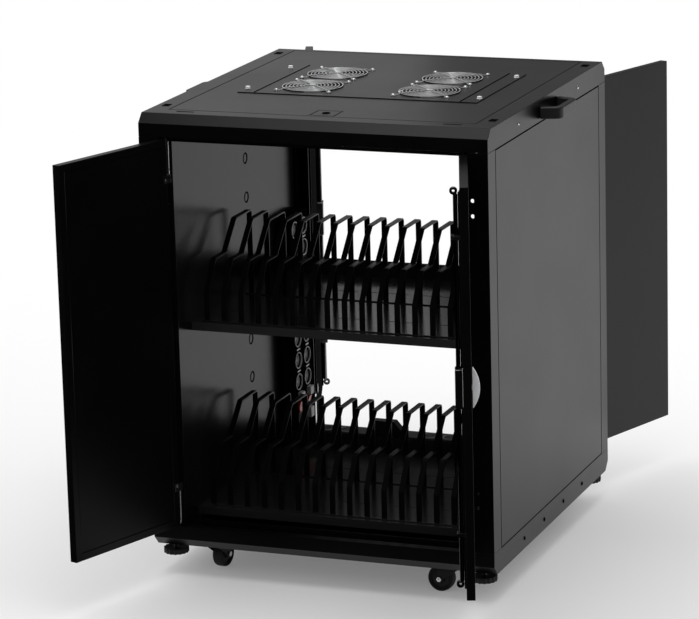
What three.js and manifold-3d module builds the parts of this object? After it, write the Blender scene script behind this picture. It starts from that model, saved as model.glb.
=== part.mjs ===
// A steel laptop charging cart: a wheeled cabinet with four doors, two divided shelves,
// socket strips and a fan tray in its top. The doors stand open, as they do for loading.
// Millimetres, +Z up, origin on the floor under the middle of the cabinet, front towards -Y.

import * as THREE from 'three';
import { mergeVertices } from 'three/addons/utils/BufferGeometryUtils.js';
import Module from 'manifold-3d';

const wasm = await Module();
wasm.setup();

// Driving dimensions: cabinet shell
const BODY_WIDTH = 670;
const BODY_DEPTH = 710;
const BODY_HEIGHT = 822;
const GROUND_GAP = 56;
const SHEET = 2;
const EDGE_CHAMFER = 17;
const RAIL_HEIGHT = 42;
const PANEL_GROOVE = 2;
const SEAT_GAP = 0.3;
const RUN_GAP = 0.8;

// Driving dimensions: door frames
const POST_FACE = 37.5;
const POST_RETURN = 41;
const STOP_WIDTH = 19.5;
const RAIL_STRIP = 24;
const RAIL_RISE = 6;
const LINTEL_DROP = 14;
const POST_HOLE_RADIUS = 3.6;
const POST_HOLE_INSET = 30;
const POST_HOLE_END = 86;
const POST_HOLE_PITCH = 28;
const WINDOW_MARGIN = 14;

// Driving dimensions: doors and hinges
const DOOR_THICKNESS = 15;
const DOOR_SETBACK = 1;
const DOOR_SKIN = 1.2;
const DOOR_FLOOR_GAP = 2;
const DOOR_TOP_GAP = 3;
const MEETING_GAP = 3;
const SWING_GAP = 1.7;
const DOOR_OPEN = 109.2;
const BARREL_RADIUS = 6;
const BARREL_LENGTH = 65;
const BARREL_GAP = 4;
const PIN_RADIUS = 3;
const PIN_REACH = 2;
const BRACKET_SHEET = 1.7;
const BRACKET_REACH = 18;
const BRACKET_HEIGHT = 16;
const BRACKET_PLATE = 3;
const BRACKET_HEEL = 2;
const TAIL_WIDTH = 4;

// Driving dimensions: door lock
const LOCK_INSET = 28;
const LOCK_HEIGHT = 420;
const ROD_RADIUS = 4.2;
const ROLLER_RADIUS = 7;
const ROLLER_WIDTH = 6;
const ROLLER_BORE = 2.4;
const ROLLER_PLAY = 1;
const UPPER_ROLLER_DROP = 14;
const LOWER_ROLLER_RISE = 24;
const LOCK_CASE_WIDTH = 28;
const LOCK_CASE_HEIGHT = 70;
const LOCK_WALL = 1.2;
const SPINDLE_RADIUS = 5;
const GRIP_HEIGHT = 78;
const GRIP_WIDTH = 12;
const GRIP_BOW = 14;
const GRIP_TIP = 1.5;
const GRIP_NECK_RADIUS = 5.6;
const GUIDE_HEIGHT = 8;
const GUIDE_WALL = 2.5;
const UPPER_GUIDE_DROP = 92;
const LOWER_GUIDE_RISE = 112;

// Driving dimensions: inside fittings
const WALL_CLEAR = 33;
const WALL_SHEET = 1.5;
const CABLE_HOLE_RADIUS = 11;
const CABLE_HOLE_Y = 66;
const CABLE_HOLE_RISES = [178, 255];
const SHELF_DEPTH = 444;
const UPPER_SHELF_HEIGHT = 401;
const LOWER_SHELF_HEIGHT = 41;
const SHELF_LIP = 16;
const SHELF_UPSTAND = 28;
const SLOT_LENGTH = 77;
const SLOT_WIDTH = 3;
const SLOT_BAYS = 3;
const SLOT_ROWS = [-123, 82];

// Driving dimensions: laptop dividers, heights above the shelf floor
const DIVIDER_PITCH = 34.5;
const DIVIDER_END_CLEAR = 20;
const STRIP_WIDTH = 11;
const STRIP_THICKNESS = 3;
const HOOP_BACK_Y = 15;
const HOOP_TOP = 166;
const HOOP_TOP_RUN = 77;
const HOOP_STEP = 111;
const HOOP_UPPER_SLOPE_RUN = 53;
const HOOP_STEP_RUN = 52;
const HOOP_FRONT = 55;
const HOOP_LOWER_SLOPE_RUN = 38;
const FOOT_BAR_WIDTH = 12;
const FOOT_BAR_THICKNESS = 2;

// Driving dimensions: fans in the top
const FAN_SIZE = 120;
const FAN_DEPTH = 38;
const FAN_BORE = 58;
const FAN_SCREW_PITCH = 105;
const FAN_SPREAD_X = 232;
const FAN_SPREAD_Y = 131;
const FAN_CENTRE_Y = 26;
const FAN_PLATE_WIDTH = 472;
const FAN_PLATE_DEPTH = 292;
const FAN_PLATE_SHEET = 1.5;
const FAN_OPENING_MARGIN_X = 35;
const FAN_OPENING_MARGIN_Y = 12.5;
const FAN_HUB_RADIUS = 19;
const FAN_SHAFT_RADIUS = 2.5;
const SPIDER_ARM = 6;
const SPIDER_DEPTH = 4;
const FAN_BLADES = 7;
const BLADE_PITCH = 38;
const BLADE_CHORD = 22;
const BLADE_THICKNESS = 2;
const BLADE_TIP_GAP = 2.5;
const SCREW_RADIUS = 2;
const WIRE = 2;
const GUARD_RINGS = 3;
const GUARD_STAND = 2.5;
const GUARD_BOSS_RADIUS = 12;

// Driving dimensions: top cover details
const TOP_SEAM_WIDTH = 2;
const TOP_SEAM_DEPTH = 0.8;
const TOP_SEAM_INSET_X = 39;
const TOP_SEAM_INSET_FRONT = 53;
const TOP_SEAM_INSET_REAR = 31;
const CORNER_HOLE_RADIUS = 5;
const CORNER_HOLE_INSET_X = 19;
const CORNER_HOLE_INSET_FRONT = 90;
const CORNER_HOLE_INSET_REAR = 66;
const LIFT_SLOT_LENGTH = 34;
const LIFT_SLOT_WIDTH = 6;
const LIFT_SLOT_X = 257;
const LIFT_SLOT_INSET = 38;
const PORT_SIZE = 46;
const PORT_INSET = 84;

// Driving dimensions: side pull handles
const PULL_LENGTH = 116;
const PULL_REACH = 40;
const PULL_HEIGHT = 22;
const PULL_BAR = 13;
const PULL_KNEE = 16;
const PULL_FILLET = 5;
const PULL_DROP = 26;

// Driving dimensions: power fittings
const STRIP_BODY_WIDTH = 46;
const STRIP_BODY_DEPTH = 26;
const STRIP_BOTTOM = 62;
const STRIP_TOP = 505;
const STRIP_SPACING = 47;
const STRIP_REAR_GAP = 1;
const SOCKET_RADIUS = 15.5;
const SOCKET_DEPTH = 3;
const SOCKET_PITCH = 44.6;
const SOCKET_COUNT = 8;
const SOCKET_TOP_DROP = 30;
const SWITCH_RISE = 51;
const ROCKER_WIDTH = 13;
const ROCKER_HEIGHT = 22;
const ROCKER_BACK = 4;
const ROCKER_PROUD = 4.5;
const ROCKER_DISH = 2;
const ROCKER_TAPER = 2.2;
const ROCKER_TILT = 6;
const ROCKER_WELL_GAP = 1.5;
const ROCKER_PIVOT_RADIUS = 1.5;
const ROCKER_PIVOT_DEPTH = 5;
const UNIT_LENGTH = 500;
const UNIT_DEPTH = 46;
const UNIT_HEIGHT = 37;
const UNIT_LIFT = 26;
const UNIT_Y = 275;
const UNIT_LEG_WIDTH = 20;
const UNIT_LEG_SPREAD = 300;
const CONTROL_WIDTH = 70;
const CONTROL_DEPTH = 20;
const CONTROL_X = -89.5;
const CONTROL_HEIGHT = 29;
const CONTROL_SLOPE = 24;
const INLET_WIDTH = 28;
const INLET_HEIGHT = 20;
const INLET_DEPTH = 16;

// Driving dimensions: casters and levelling feet
const CASTER_INSET_X = 100;
const CASTER_INSET_Y = 60;
const CASTER_TRAIL = 23;
const CASTER_TURNS = { front_left: 82, front_right: 176, rear_left: 200, rear_right: 60 };
const WHEEL_RADIUS = 25;
const WHEEL_WIDTH = 20;
const WHEEL_HUB_RADIUS = 9;
const WHEEL_HUB_PROUD = 0.5;
const TREAD_BEVEL = 2.5;
const RIM_WIDTH = 4;
const AXLE_RADIUS = 3;
const AXLE_NUT_RADIUS = 5.4;
const AXLE_NUT_THICKNESS = 3;
const CHEEK_SHEET = 2.5;
const CHEEK_EYE = 7.8;
const CHEEK_BACK = 17;
const CROWN_RADIUS = 24;
const CROWN_THICKNESS = 4;
const STEM_RADIUS = 5;
const BOSS_WALL = 5;
const BOSS_HEIGHT = 14;
const FOOT_INSET_X = 30;
const FOOT_INSET_Y = 31;
const FOOT_RADIUS = 24;
const FOOT_THICKNESS = 11;
const FOOT_CLEARANCE = 37;
const STUD_RADIUS = 5;
const FOOT_BOSS_WALL = 2.7;
const FOOT_LOBES = 15;
const FOOT_SCALLOP = 1.6;

// Levels and planes that the pieces share. Depths run inwards from the cabinet's front or rear plane.
const halfWidth = BODY_WIDTH / 2;
const halfDepth = BODY_DEPTH / 2;
const baseZ = GROUND_GAP;
const sillZ = baseZ + RAIL_HEIGHT;
const topZ = baseZ + BODY_HEIGHT;
const lintelZ = topZ - RAIL_HEIGHT;
const rebateX = halfWidth - POST_FACE;
const leafStart = BARREL_RADIUS + SEAT_GAP;
const hingeX = rebateX - Math.hypot(leafStart, DOOR_THICKNESS / 2) - SWING_GAP;
const leafEnd = hingeX - MEETING_GAP / 2;
const axisDepth = DOOR_SETBACK + DOOR_THICKNESS / 2;
const bracketDepth = DOOR_SETBACK + DOOR_THICKNESS + SEAT_GAP + BRACKET_SHEET;
const stopDepth = bracketDepth + RUN_GAP;
const keeperDepth = stopDepth - SEAT_GAP;
const rollerDepth = keeperDepth + ROLLER_PLAY + ROLLER_RADIUS;
const rodDepth = keeperDepth + RUN_GAP + ROD_RADIUS;
const railDepth = rollerDepth + ROLLER_RADIUS + SWING_GAP + RUN_GAP;
const wallX = halfWidth - WALL_CLEAR;
const lockZ = baseZ + LOCK_HEIGHT;
const doorBottomZ = sillZ + DOOR_FLOOR_GAP;
const doorTopZ = lintelZ - DOOR_TOP_GAP;

// Finishes, each mesh with a material of its own
function finish(color, roughness, metalness) {
  return new THREE.MeshStandardMaterial({ color, roughness, metalness });
}
const blackCoat = () => finish(0x1a1b1d, 0.42, 0.2);
const greyCoat = () => finish(0x4a4c4f, 0.35, 0.2);
const chrome = () => finish(0xd9dbdd, 0.16, 1);
const blackPlastic = () => finish(0x141416, 0.5, 0);
const redPlastic = () => finish(0xc2161a, 0.35, 0);
const silver = () => finish(0xcfd1d2, 0.3, 0.8);
const rubber = () => finish(0x202022, 0.7, 0);
const zinc = () => finish(0x9a9c9e, 0.4, 0.9);

// Solids: closed three.js geometry handed to the boolean library, which joins and cuts
function solid(geometry) {
  const bare = geometry.clone();
  bare.deleteAttribute('normal');
  bare.deleteAttribute('uv');
  const merged = mergeVertices(bare, 1e-4);
  return new wasm.Manifold(new wasm.Mesh({
    numProp: 3,
    vertProperties: new Float32Array(merged.attributes.position.array),
    triVerts: new Uint32Array(merged.index.array),
  }));
}

function box(x0, x1, y0, y1, z0, z1) {
  const geometry = new THREE.BoxGeometry(1, 1, 1);
  const corners = geometry.attributes.position;
  for (let index = 0; index < corners.count; index += 1) {
    const x = corners.getX(index) < 0 ? x0 : x1;
    const y = corners.getY(index) < 0 ? y0 : y1;
    const z = corners.getZ(index) < 0 ? z0 : z1;
    corners.setXYZ(index, x, y, z);
  }
  return solid(geometry);
}

// Lays a shape that stands along Z from end to end, exactly between two places on an axis
function lay(geometry, axis, from, to) {
  const points = geometry.attributes.position;
  geometry.computeBoundingBox();
  const middle = (geometry.boundingBox.min.z + geometry.boundingBox.max.z) / 2;
  for (let index = 0; index < points.count; index += 1) {
    points.setZ(index, points.getZ(index) < middle ? from : to);
  }
  const [X, Y, Z] = [new THREE.Vector3(1, 0, 0), new THREE.Vector3(0, 1, 0), new THREE.Vector3(0, 0, 1)];
  const frames = { x: [Y, Z, X], y: [Z, X, Y], z: [X, Y, Z] };
  return solid(geometry.applyMatrix4(new THREE.Matrix4().makeBasis(...frames[axis])));
}

// Extrudes an outline along an axis. Points are (y, z) for x, (x, z) for y and (x, y) for z.
function prism(points, axis, from, to) {
  const turned = axis === 'y' ? points.map(([a, b]) => [b, a]) : points;
  const outline = new THREE.Shape(turned.map(([a, b]) => new THREE.Vector2(a, b)));
  return lay(new THREE.ExtrudeGeometry(outline, { depth: 1, bevelEnabled: false }), axis, from, to);
}

// A round bar along an axis. The centre gives the two coordinates across the axis, in x, y, z order.
function bar(radius, axis, centre, from, to, sides) {
  const [a, b] = axis === 'y' ? [centre[1], centre[0]] : centre;
  const geometry = new THREE.CylinderGeometry(radius, radius, 1, sides).rotateX(Math.PI / 2);
  return lay(geometry.translate(a, b, 0), axis, from, to);
}

// A round hole as a cutter, whose flats stand at the given radius
function bore(radius, axis, centre, from, to, sides) {
  return bar(radius / Math.cos(Math.PI / sides), axis, centre, from, to, sides);
}

const join = (...solids) => solids.reduce((whole, piece) => whole.add(piece));
const cut = (whole, ...pieces) => pieces.reduce((rest, piece) => rest.subtract(piece), whole);

// The span from a to b on one hand or the other, lowest first
function spread(hand, a, b) {
  return [Math.min(hand * a, hand * b), Math.max(hand * a, hand * b)];
}

function mesh(name, body, material) {
  const data = body.getMesh();
  const geometry = new THREE.BufferGeometry();
  geometry.setAttribute('position', new THREE.BufferAttribute(new Float32Array(data.vertProperties), 3));
  geometry.setIndex(new THREE.BufferAttribute(new Uint32Array(data.triVerts), 1));
  geometry.computeVertexNormals();
  const made = new THREE.Mesh(geometry, material);
  made.name = name;
  return made;
}

// Outline of a strip of even thickness that follows a line of corner points
function stripOutline(line, thickness) {
  const points = line.map(([a, b]) => new THREE.Vector2(a, b));
  const side = (sign) => points.map((point, index) => {
    const before = points[Math.max(index - 1, 0)];
    const after = points[Math.min(index + 1, points.length - 1)];
    const into = point.clone().sub(index > 0 ? before : point).normalize();
    const out = after.clone().sub(index < points.length - 1 ? point : after).normalize();
    const first = index > 0 ? into : out;
    const second = index < points.length - 1 ? out : into;
    const normal = new THREE.Vector2(-first.y - second.y, first.x + second.x).normalize();
    const stretch = normal.dot(new THREE.Vector2(-first.y, first.x));
    return [
      point.x + sign * normal.x * thickness / 2 / stretch,
      point.y + sign * normal.y * thickness / 2 / stretch,
    ];
  });
  return [...side(1), ...side(-1).reverse()];
}

const cart = new THREE.Group();
const cornerSigns = { front_left: [-1, -1], front_right: [1, -1], rear_left: [-1, 1], rear_right: [1, 1] };

// Trays: the base and the top are folded sheet with chamfered front and rear edges.
// A flange along each door opening carries the hinge pins and keeps the lock rollers.
function trayOutline(inset) {
  const chamfer = EDGE_CHAMFER - inset * (2 - Math.SQRT2);
  const edge = halfDepth - inset;
  const rim = RAIL_HEIGHT - inset;
  return [
    [-edge, rim], [-edge, inset + chamfer], [-edge + chamfer, inset],
    [edge - chamfer, inset], [edge, inset + chamfer], [edge, rim],
  ];
}

function tray() {
  const mouth = halfDepth - keeperDepth;
  const above = RAIL_HEIGHT + SHEET;
  const neck = [[mouth, RAIL_HEIGHT - SHEET], [mouth, above], [-mouth, above], [-mouth, RAIL_HEIGHT - SHEET]];
  const shell = prism(trayOutline(0), 'x', -halfWidth, halfWidth);
  const hollow = prism([...trayOutline(SHEET), ...neck], 'x', -halfWidth + SHEET, halfWidth - SHEET);
  let body = cut(shell, hollow);
  for (const [sx, sy] of Object.values(cornerSigns)) {
    const pin = [sx * hingeX, sy * (halfDepth - axisDepth)];
    body = cut(body, bore(PIN_RADIUS + SEAT_GAP, 'z', pin, RAIL_HEIGHT - 2 * SHEET, above, 8));
  }
  return body;
}

function baseFrame() {
  let body = tray();
  for (const [sx, sy] of Object.values(cornerSigns)) {
    const stem = [sx * (halfWidth - CASTER_INSET_X), sy * (halfDepth - CASTER_INSET_Y)];
    const stud = [sx * (halfWidth - FOOT_INSET_X), sy * (halfDepth - FOOT_INSET_Y)];
    const top = SHEET + BOSS_HEIGHT;
    body = join(body, bar(STEM_RADIUS + BOSS_WALL, 'z', stem, SHEET / 2, top, 8));
    body = join(body, bar(STUD_RADIUS + FOOT_BOSS_WALL, 'z', stud, SHEET / 2, top, 8));
    body = cut(body, bore(STEM_RADIUS + SEAT_GAP, 'z', stem, -SHEET, top + SHEET, 8));
    body = cut(body, bore(STUD_RADIUS + SEAT_GAP, 'z', stud, -SHEET, top + SHEET, 8));
  }
  return body;
}

// A rectangular groove as a cutter, standing in the top tray's outer face
function seam(x0, x1, y0, y1) {
  const half = TOP_SEAM_WIDTH / 2;
  const outer = box(x0 - half, x1 + half, y0 - half, y1 + half, -SHEET, TOP_SEAM_DEPTH);
  return cut(outer, box(x0 + half, x1 - half, y0 + half, y1 - half, -2 * SHEET, SHEET));
}

// The top tray is the base tray turned over, with an opening under the fan plate
function topFrame() {
  let body = tray();
  const openingX = FAN_PLATE_WIDTH / 2 - FAN_OPENING_MARGIN_X;
  const openingY = FAN_PLATE_DEPTH / 2 - FAN_OPENING_MARGIN_Y;
  const [openingLow, openingHigh] = [-FAN_CENTRE_Y - openingY, -FAN_CENTRE_Y + openingY];
  body = cut(body, box(-openingX, openingX, openingLow, openingHigh, -SHEET, 2 * SHEET));
  const seamX = halfWidth - TOP_SEAM_INSET_X;
  const portHalf = PORT_SIZE / 2;
  const portY = halfDepth - PORT_INSET;
  body = cut(
    body,
    seam(-seamX, seamX, -halfDepth + TOP_SEAM_INSET_REAR, halfDepth - TOP_SEAM_INSET_FRONT),
    seam(-portHalf, portHalf, portY - portHalf, portY + portHalf),
  );
  for (const hand of [-1, 1]) {
    const holeX = hand * (halfWidth - CORNER_HOLE_INSET_X);
    for (const holeY of [halfDepth - CORNER_HOLE_INSET_FRONT, -halfDepth + CORNER_HOLE_INSET_REAR]) {
      body = cut(body, bore(CORNER_HOLE_RADIUS, 'z', [holeX, holeY], -SHEET, 2 * SHEET, 10));
    }
    const slotX = hand * LIFT_SLOT_X;
    const slotY = halfDepth - LIFT_SLOT_INSET;
    const [length, width] = [LIFT_SLOT_LENGTH / 2, LIFT_SLOT_WIDTH / 2];
    body = cut(body, box(slotX - length, slotX + length, slotY - width, slotY + width, -SHEET, 2 * SHEET));
  }
  return body;
}

const baseMesh = mesh('base_frame', baseFrame(), blackCoat());
baseMesh.position.z = baseZ;
cart.add(baseMesh);
const topMesh = mesh('top_frame', topFrame(), blackCoat());
topMesh.rotation.x = Math.PI;
topMesh.position.z = topZ;
cart.add(topMesh);

// Door frames: two folded posts with a stop flange each, tied by a rail at the sill and one at the lintel
function postOutline(hand) {
  const [outer, face, stop] = [halfWidth, rebateX, rebateX - STOP_WIDTH];
  const tongue = railDepth + SHEET + RUN_GAP;
  const section = [
    [outer, 0], [outer, POST_RETURN], [outer - SHEET, POST_RETURN], [outer - SHEET, SHEET],
    [face + SHEET, SHEET], [face + SHEET, tongue], [face, tongue], [face, stopDepth + SHEET],
    [stop, stopDepth + SHEET], [stop, stopDepth], [face, stopDepth], [face, 0],
  ];
  return section.map(([x, depth]) => [hand * x, depth - halfDepth]);
}

function doorFrame() {
  const front = -halfDepth;
  const railX = rebateX + SHEET / 2;
  const rail = (low, high) => box(-railX, railX, front + railDepth, front + railDepth + SHEET, low, high);
  const upperRail = rail(lintelZ - LINTEL_DROP, lintelZ + RAIL_STRIP - RAIL_RISE / 2);
  const lowerRail = rail(sillZ + RAIL_RISE - RAIL_STRIP, sillZ + RAIL_RISE);
  let body = join(upperRail, prism(postOutline(1), 'z', sillZ + SEAT_GAP, lintelZ - SEAT_GAP));
  body = join(body, prism(postOutline(-1), 'z', sillZ + SEAT_GAP, lintelZ - SEAT_GAP), lowerRail);
  for (const hand of [-1, 1]) {
    for (const [end, way] of [[sillZ, 1], [lintelZ, -1]]) {
      const holeX = hand * (halfWidth - POST_HOLE_INSET);
      const holes = [end + way * POST_HOLE_END, end + way * (POST_HOLE_END + POST_HOLE_PITCH)];
      for (const holeZ of holes) {
        body = cut(body, bore(POST_HOLE_RADIUS, 'y', [holeX, holeZ], front - SHEET, front + 2 * SHEET, 8));
      }
      const low = Math.min(...holes) - WINDOW_MARGIN;
      const high = Math.max(...holes) + WINDOW_MARGIN;
      const windowX = spread(hand, rebateX - WINDOW_MARGIN, rebateX + 2 * SHEET);
      body = cut(body, box(...windowX, front + SHEET + SEAT_GAP, front + railDepth - RAIL_RISE, low, high));
    }
  }
  return body;
}

for (const [name, turn] of [['front_frame', 0], ['rear_frame', Math.PI]]) {
  const frame = mesh(name, doorFrame(), blackCoat());
  frame.rotation.z = turn;
  cart.add(frame);
}

// Side panels: shallow pans that fill the space between the trays and the posts
function sidePanel() {
  const y = halfDepth - POST_RETURN - PANEL_GROOVE;
  const z0 = sillZ + SEAT_GAP;
  const z1 = lintelZ - PANEL_GROOVE;
  const hem = 3 * SHEET;
  const pan = box(halfWidth - hem, halfWidth, -y, y, z0, z1);
  return cut(pan, box(halfWidth - 2 * hem, halfWidth - SHEET, -y + SHEET, y - SHEET, z0 + SHEET, z1 - SHEET));
}

// Pull handles: a bowed grip on each side of the top tray
function pullHandle() {
  const end = PULL_LENGTH / 2;
  const bend = end - PULL_BAR / 2;
  const knee = end - PULL_KNEE;
  const foot = halfWidth + SEAT_GAP;
  const outer = halfWidth + PULL_REACH;
  const inner = outer - PULL_BAR;
  const back = [[foot, end], [inner, bend], [outer, knee]];
  const corner = inner - PULL_FILLET;
  const hollow = [[foot, end - PULL_BAR], [corner, bend - PULL_BAR], [inner, knee - 2 * PULL_FILLET]];
  const mirrored = (points) => points.map(([x, y]) => [x, -y]);
  const outline = [
    ...mirrored(back), ...back.reverse(),
    ...hollow, ...mirrored(hollow).reverse(),
  ];
  const middle = topZ - PULL_DROP;
  return prism(outline, 'z', middle - PULL_HEIGHT / 2, middle + PULL_HEIGHT / 2);
}

for (const [hand, turn] of [['right', 0], ['left', Math.PI]]) {
  const side = new THREE.Group();
  side.rotation.z = turn;
  side.add(mesh(`side_panel_${hand}`, sidePanel(), blackCoat()));
  side.add(mesh(`side_handle_${hand}`, pullHandle(), blackPlastic()));
  cart.add(side);
}

// Inner walls: channels with their flanges turned out to the posts
function innerWall(hand) {
  const y = halfDepth - railDepth - SHEET - RUN_GAP - 2 * SEAT_GAP;
  const outer = halfWidth - SHEET - SEAT_GAP;
  const section = [
    [wallX, -y], [outer, -y], [outer, -y + WALL_SHEET], [wallX + WALL_SHEET, -y + WALL_SHEET],
    [wallX + WALL_SHEET, y - WALL_SHEET], [outer, y - WALL_SHEET], [outer, y], [wallX, y],
  ];
  const channel = section.map(([x, depth]) => [hand * x, depth]);
  let body = prism(channel, 'z', baseZ + SHEET + SEAT_GAP, topZ - SHEET - SEAT_GAP);
  for (const floor of [LOWER_SHELF_HEIGHT, UPPER_SHELF_HEIGHT]) {
    for (const rise of CABLE_HOLE_RISES) {
      const at = [CABLE_HOLE_Y, baseZ + floor + rise];
      const through = spread(hand, wallX - SHEET, wallX + 2 * SHEET);
      body = cut(body, bore(CABLE_HOLE_RADIUS, 'x', at, ...through, 12));
    }
  }
  return body;
}
cart.add(mesh('inner_wall_left', innerWall(-1), greyCoat()));
cart.add(mesh('inner_wall_right', innerWall(1), greyCoat()));

// Shelves: slotted floor, turned-down lips at the front and sides, raised lip at the rear
function shelf(floorZ, sideDrop) {
  const x = wallX - SEAT_GAP;
  const y = SHELF_DEPTH / 2;
  const section = [
    [-y, floorZ - SHELF_LIP], [-y + SHEET, floorZ - SHELF_LIP], [-y + SHEET, floorZ - SHEET],
    [y, floorZ - SHEET], [y, floorZ + SHELF_UPSTAND], [y - SHEET, floorZ + SHELF_UPSTAND],
    [y - SHEET, floorZ], [-y, floorZ],
  ];
  let body = prism(section, 'x', -x, x);
  for (const hand of [-1, 1]) {
    const flange = spread(hand, x - SEAT_GAP - SHEET, x - SEAT_GAP);
    const inset = 2 * SHEET;
    body = join(body, box(...flange, -y + inset, y - inset, floorZ - sideDrop, floorZ - SHEET / 2));
  }
  const slotPitch = SLOT_BAYS * DIVIDER_PITCH;
  const reach = Math.floor((x - (SLOT_LENGTH + DIVIDER_PITCH) / 2) / slotPitch);
  const [length, width] = [SLOT_LENGTH / 2, SLOT_WIDTH / 2];
  const through = [floorZ - 2 * SHEET, floorZ + SHEET];
  for (const rowY of SLOT_ROWS) {
    for (let index = -reach; index <= reach; index += 1) {
      const slotX = index * slotPitch - DIVIDER_PITCH / 2;
      body = cut(body, box(slotX - length, slotX + length, rowY - width, rowY + width, ...through));
    }
  }
  return body;
}

// Dividers: a row of stepped strip hoops standing on two foot bars
function dividers(floorZ) {
  const front = HOOP_BACK_Y - HOOP_TOP_RUN - HOOP_UPPER_SLOPE_RUN - HOOP_STEP_RUN - HOOP_LOWER_SLOPE_RUN;
  const topFront = HOOP_BACK_Y - HOOP_TOP_RUN;
  const stepBack = topFront - HOOP_UPPER_SLOPE_RUN;
  const foot = floorZ + SEAT_GAP;
  const legFoot = foot + FOOT_BAR_THICKNESS / 2;
  const line = [
    [HOOP_BACK_Y, legFoot], [HOOP_BACK_Y, floorZ + HOOP_TOP], [topFront, floorZ + HOOP_TOP],
    [stepBack, floorZ + HOOP_STEP], [stepBack - HOOP_STEP_RUN, floorZ + HOOP_STEP],
    [front, floorZ + HOOP_FRONT], [front, legFoot],
  ];
  const outline = stripOutline(line, STRIP_THICKNESS);
  const reach = Math.floor((wallX - DIVIDER_END_CLEAR) / DIVIDER_PITCH);
  const barX = reach * DIVIDER_PITCH + STRIP_WIDTH;
  const barHalf = FOOT_BAR_WIDTH / 2;
  const footBar = (y) => box(-barX, barX, y - barHalf, y + barHalf, foot, foot + FOOT_BAR_THICKNESS);
  let body = join(footBar(HOOP_BACK_Y), footBar(front));
  for (let index = -reach; index <= reach; index += 1) {
    const x = index * DIVIDER_PITCH;
    body = join(body, prism(outline, 'x', x - STRIP_WIDTH / 2, x + STRIP_WIDTH / 2));
  }
  return body;
}

const upperFloor = baseZ + UPPER_SHELF_HEIGHT;
const lowerFloor = baseZ + LOWER_SHELF_HEIGHT;
cart.add(mesh('upper_shelf', shelf(upperFloor, SHELF_LIP), greyCoat()));
cart.add(mesh('lower_shelf', shelf(lowerFloor, LOWER_SHELF_HEIGHT - SHEET - SEAT_GAP), greyCoat()));
cart.add(mesh('upper_dividers', dividers(upperFloor), greyCoat()));
cart.add(mesh('lower_dividers', dividers(lowerFloor), greyCoat()));

// Fan tray: a plate over the top opening, with four fans hung under it and wire guards above
const fanPlaces = [
  [-FAN_SPREAD_X / 2, FAN_CENTRE_Y - FAN_SPREAD_Y / 2], [FAN_SPREAD_X / 2, FAN_CENTRE_Y - FAN_SPREAD_Y / 2],
  [-FAN_SPREAD_X / 2, FAN_CENTRE_Y + FAN_SPREAD_Y / 2], [FAN_SPREAD_X / 2, FAN_CENTRE_Y + FAN_SPREAD_Y / 2],
];
const screwReach = FAN_SCREW_PITCH / 2;
const screwPlaces = [[-1, -1], [1, -1], [1, 1], [-1, 1]].map(([a, b]) => [a * screwReach, b * screwReach]);
const plateTop = topZ + FAN_PLATE_SHEET;
const spiderZ = topZ - SEAT_GAP - FAN_DEPTH + SPIDER_DEPTH;

function fanPlate() {
  const [x, y] = [FAN_PLATE_WIDTH / 2, FAN_PLATE_DEPTH / 2];
  let body = box(-x, x, FAN_CENTRE_Y - y, FAN_CENTRE_Y + y, topZ, plateTop);
  for (const [fanX, fanY] of fanPlaces) {
    const through = [topZ - SHEET, plateTop + SHEET];
    body = cut(body, bore(FAN_BORE, 'z', [fanX, fanY], ...through, 16));
    for (const [a, b] of screwPlaces) {
      body = cut(body, bore(SCREW_RADIUS + SEAT_GAP, 'z', [fanX + a, fanY + b], ...through, 6));
    }
  }
  return body;
}

// One fan frame about its own axis: housing, motor spider, screws and the wire guard that the screws hold
function fanFrame() {
  const high = topZ - SEAT_GAP;
  const low = high - FAN_DEPTH;
  const half = FAN_SIZE / 2;
  const wireLow = plateTop + GUARD_STAND;
  let body = box(-half, half, -half, half, low, high);
  body = cut(body, bore(FAN_BORE, 'z', [0, 0], low - SHEET, high + SHEET, 16));
  const arm = FAN_BORE + SHEET;
  body = join(
    body,
    box(-arm, arm, -SPIDER_ARM / 2, SPIDER_ARM / 2, low + SHEET / 4, spiderZ - SHEET / 4),
    box(-SPIDER_ARM / 2, SPIDER_ARM / 2, -arm, arm, low + SHEET / 2, spiderZ - SHEET / 2),
    bar(FAN_HUB_RADIUS, 'z', [0, 0], low + SHEET / 8, spiderZ, 12),
  );
  body = cut(body, bore(FAN_SHAFT_RADIUS + SEAT_GAP, 'z', [0, 0], low - SHEET, spiderZ + SHEET, 8));
  const step = (FAN_BORE - GUARD_BOSS_RADIUS) / GUARD_RINGS;
  let guard = bar(GUARD_BOSS_RADIUS, 'z', [0, 0], wireLow - WIRE / 4, wireLow + 1.25 * WIRE, 8);
  for (let ring = 1; ring <= GUARD_RINGS; ring += 1) {
    const radius = GUARD_BOSS_RADIUS + ring * step;
    const hoop = bar(radius, 'z', [0, 0], wireLow, wireLow + WIRE, 10);
    guard = guard.add(cut(hoop, bar(radius - WIRE, 'z', [0, 0], wireLow - WIRE, wireLow + 2 * WIRE, 10)));
  }
  const diagonal = Math.hypot(...screwPlaces[0]);
  screwPlaces.forEach((place, leg) => {
    const half = WIRE / 2;
    const wire = box(GUARD_BOSS_RADIUS / 2, diagonal, -half, half, wireLow - half, wireLow + half);
    guard = join(guard, wire.rotate([0, 0, 45 + 90 * leg]));
    guard = join(guard, bar(SCREW_RADIUS, 'z', place, high - FAN_DEPTH / 4, wireLow + 0.75 * WIRE, 6));
  });
  return join(body, guard);
}

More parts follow.
